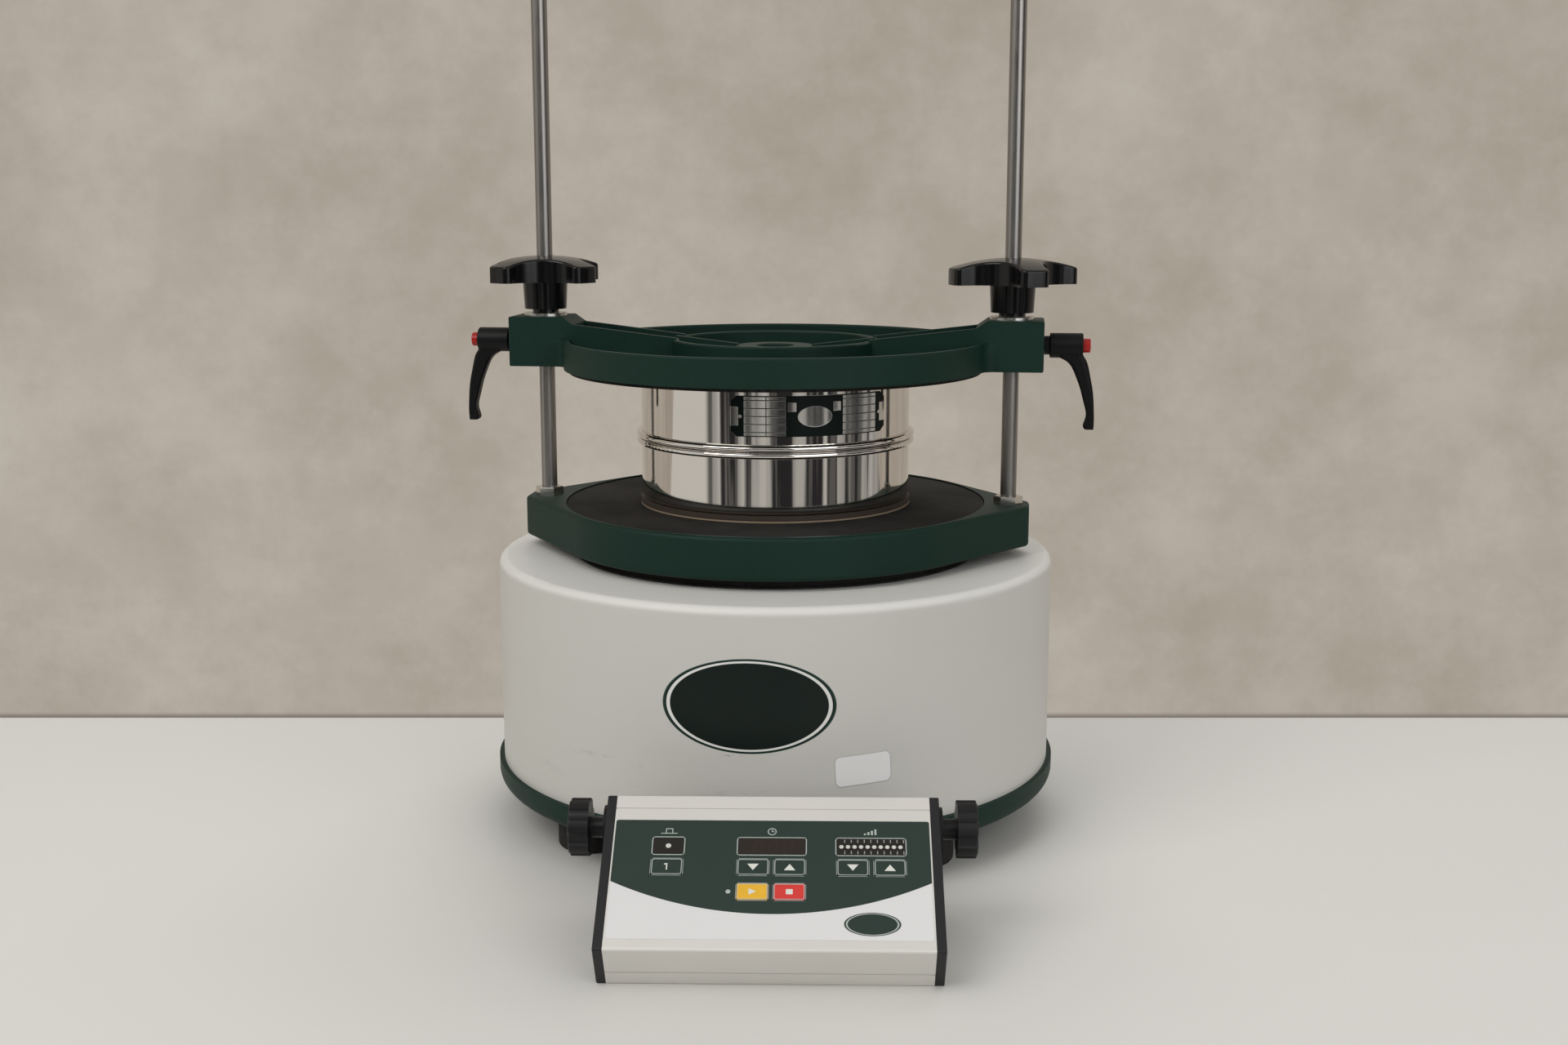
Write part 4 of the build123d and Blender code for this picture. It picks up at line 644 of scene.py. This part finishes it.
def floor_paint():
    """Pale floor; mirrors see the room beyond the table's reach, and far off it stays pale
    where the lamps no longer light it."""
    paint = Paint("floor_pale", Roughness=0.6, Specular_IOR_Level=0.3, Emission_Strength=1)
    radius = (paint.along(RIGHT) ** 2 + paint.along(BACK) ** 2) ** 0.5
    beyond = radius.above(TABLE_REACH, 0.1)
    far_off = radius.above(LAMP_REACH, LAMP_REACH)
    pale = paint.mix(paint.noise(1.6, detail=4), *FLOOR_PALE)
    paint.set(Base_Color=paint.mix(far_off, pale, BLACK),
              Emission_Color=paint.mix(far_off * shown_to_viewer(paint), BLACK, FLOOR_FAR),
              Alpha=1 - beyond * paint.ray("Glossy"))
    return paint.material


def wall_paint():
    """Mottled wall with a painted shadow along its foot, there for the viewer only."""
    paint = Paint("wall_pale", Base_Color=BLACK, Roughness=1, Specular_IOR_Level=0,
                  Emission_Strength=1)
    cloud = paint.noise(2.4, detail=6, roughness=0.62)
    blotch = paint.noise(9, detail=6, roughness=0.7)
    grain = paint.noise(70, detail=3)
    height = paint.along(BACK, (0, -STAGE_HALF, 0))
    patches = cloud.above(0.5, 0.35) * 0.55 + blotch.above(0.52, 0.3) * 0.3 + grain * 0.15
    wall = paint.mix(patches, *WALL_PALE)
    # Painted shadow: the wall darkens towards its foot.
    wall = paint.mix(height.below(WALL_FOOT, 2 * WALL_FOOT), wall, WALL_FOOT_SHADOW)
    paint.set(Emission_Color=wall, Alpha=shown_to_viewer(paint))
    return paint.material


def add_stage():
    bpy.ops.object.select_all(action="DESELECT")
    bpy.ops.mesh.primitive_plane_add(size=2 * STAGE_HALF)
    floor = bpy.context.object
    floor.name = "stage_floor"
    floor.data.materials.append(floor_paint())
    turn = radians(CAMERA_HEADING)
    bpy.ops.mesh.primitive_plane_add(
        size=2 * STAGE_HALF, rotation=(radians(90), 0, turn),
        location=(-sin(turn) * WALL_BEHIND, DRUM_Y + cos(turn) * WALL_BEHIND, STAGE_HALF))
    wall = bpy.context.object
    wall.name = "stage_wall"
    wall.data.materials.append(wall_paint())


# Light: a soft room and three large lamps, each with its place, size, power and tint
ROOM_LOW, ROOM_HIGH = (0.18, 0.176, 0.168), (0.58, 0.572, 0.55)
MIRRORED_DARK, MIRRORED_PALE = (0.022, 0.021, 0.022), (0.62, 0.6, 0.56)
BACKDROP = (0.62, 0.61, 0.59)
BAND_TOP = 0.35
OPEN_FROM, OPEN_TO = -2.2, -0.9
LAMP_AIM = Vector((0, DRUM_Y, 0.22))
WARM, COOL = (1, 0.985, 0.96), (0.97, 0.985, 1)
LAMPS = {
    "key_light": ((-1.3, -1.7, 2.1), (1.8, 1.8), 32, WARM),
    "fill_light": ((1.5, -1.7, 1.0), (1.6, 1.6), 14, COOL),
    "rear_light": ((0.2, 1.9, 2.3), (2.2, 1.0), 18, WARM),
}


def add_world():
    """Soft room light: dim low down and brighter overhead. Mirrors see upright pale and
    dark bands round the horizon, open and pale on one side."""
    world = bpy.data.worlds.new("studio")
    world.use_nodes = True
    room = Shading(world.node_tree, "BACKGROUND", "Generated")
    height = room.along(UP)
    light = room.mix(height.above(0.3, 0.9), ROOM_LOW, ROOM_HIGH)
    angle = room.along(RIGHT).math("ARCTAN2", room.along(FRONT))
    lay = room.node("CombineXYZ", X=angle, Z=height * 0.3)
    bars = room.noise(3.2, detail=2, roughness=0.55, place=lay).above(0.54, 0.04)
    slim = room.noise(11, detail=2, place=lay).above(0.56, 0.05)
    shade = room.noise(1.7, detail=2, place=lay).above(0.45, 0.4)
    open_side = angle.between(OPEN_FROM, OPEN_TO, 0.1)
    pale = (bars * (0.22 + shade * 0.5) + slim * 0.15).math("MAXIMUM", open_side)
    bands = room.mix(pale.at_most_one(), MIRRORED_DARK, MIRRORED_PALE)
    mirrored = room.ray("Glossy") * abs(height).below(BAND_TOP, 0.3)
    viewed = (room.ray("Camera") + room.ray("Transmission")).at_most_one()
    room.set(Color=room.mix(viewed, room.mix(mirrored, light, bands), BACKDROP))
    bpy.context.scene.world = world


def add_lamps():
    for name, (place, size, power, tint) in LAMPS.items():
        lamp = bpy.data.objects.new(name, bpy.data.lights.new(name, "AREA"))
        lamp.data.shape = "RECTANGLE"
        lamp.data.size, lamp.data.size_y = size
        lamp.data.energy = power
        lamp.data.color = tint
        lamp.location = place
        lamp.rotation_euler = (LAMP_AIM - Vector(place)).to_track_quat("-Z", "Y").to_euler()
        bpy.context.collection.objects.link(lamp)


add_stage()
add_world()
add_lamps()
bpy.context.scene.view_settings.view_transform = "Standard"
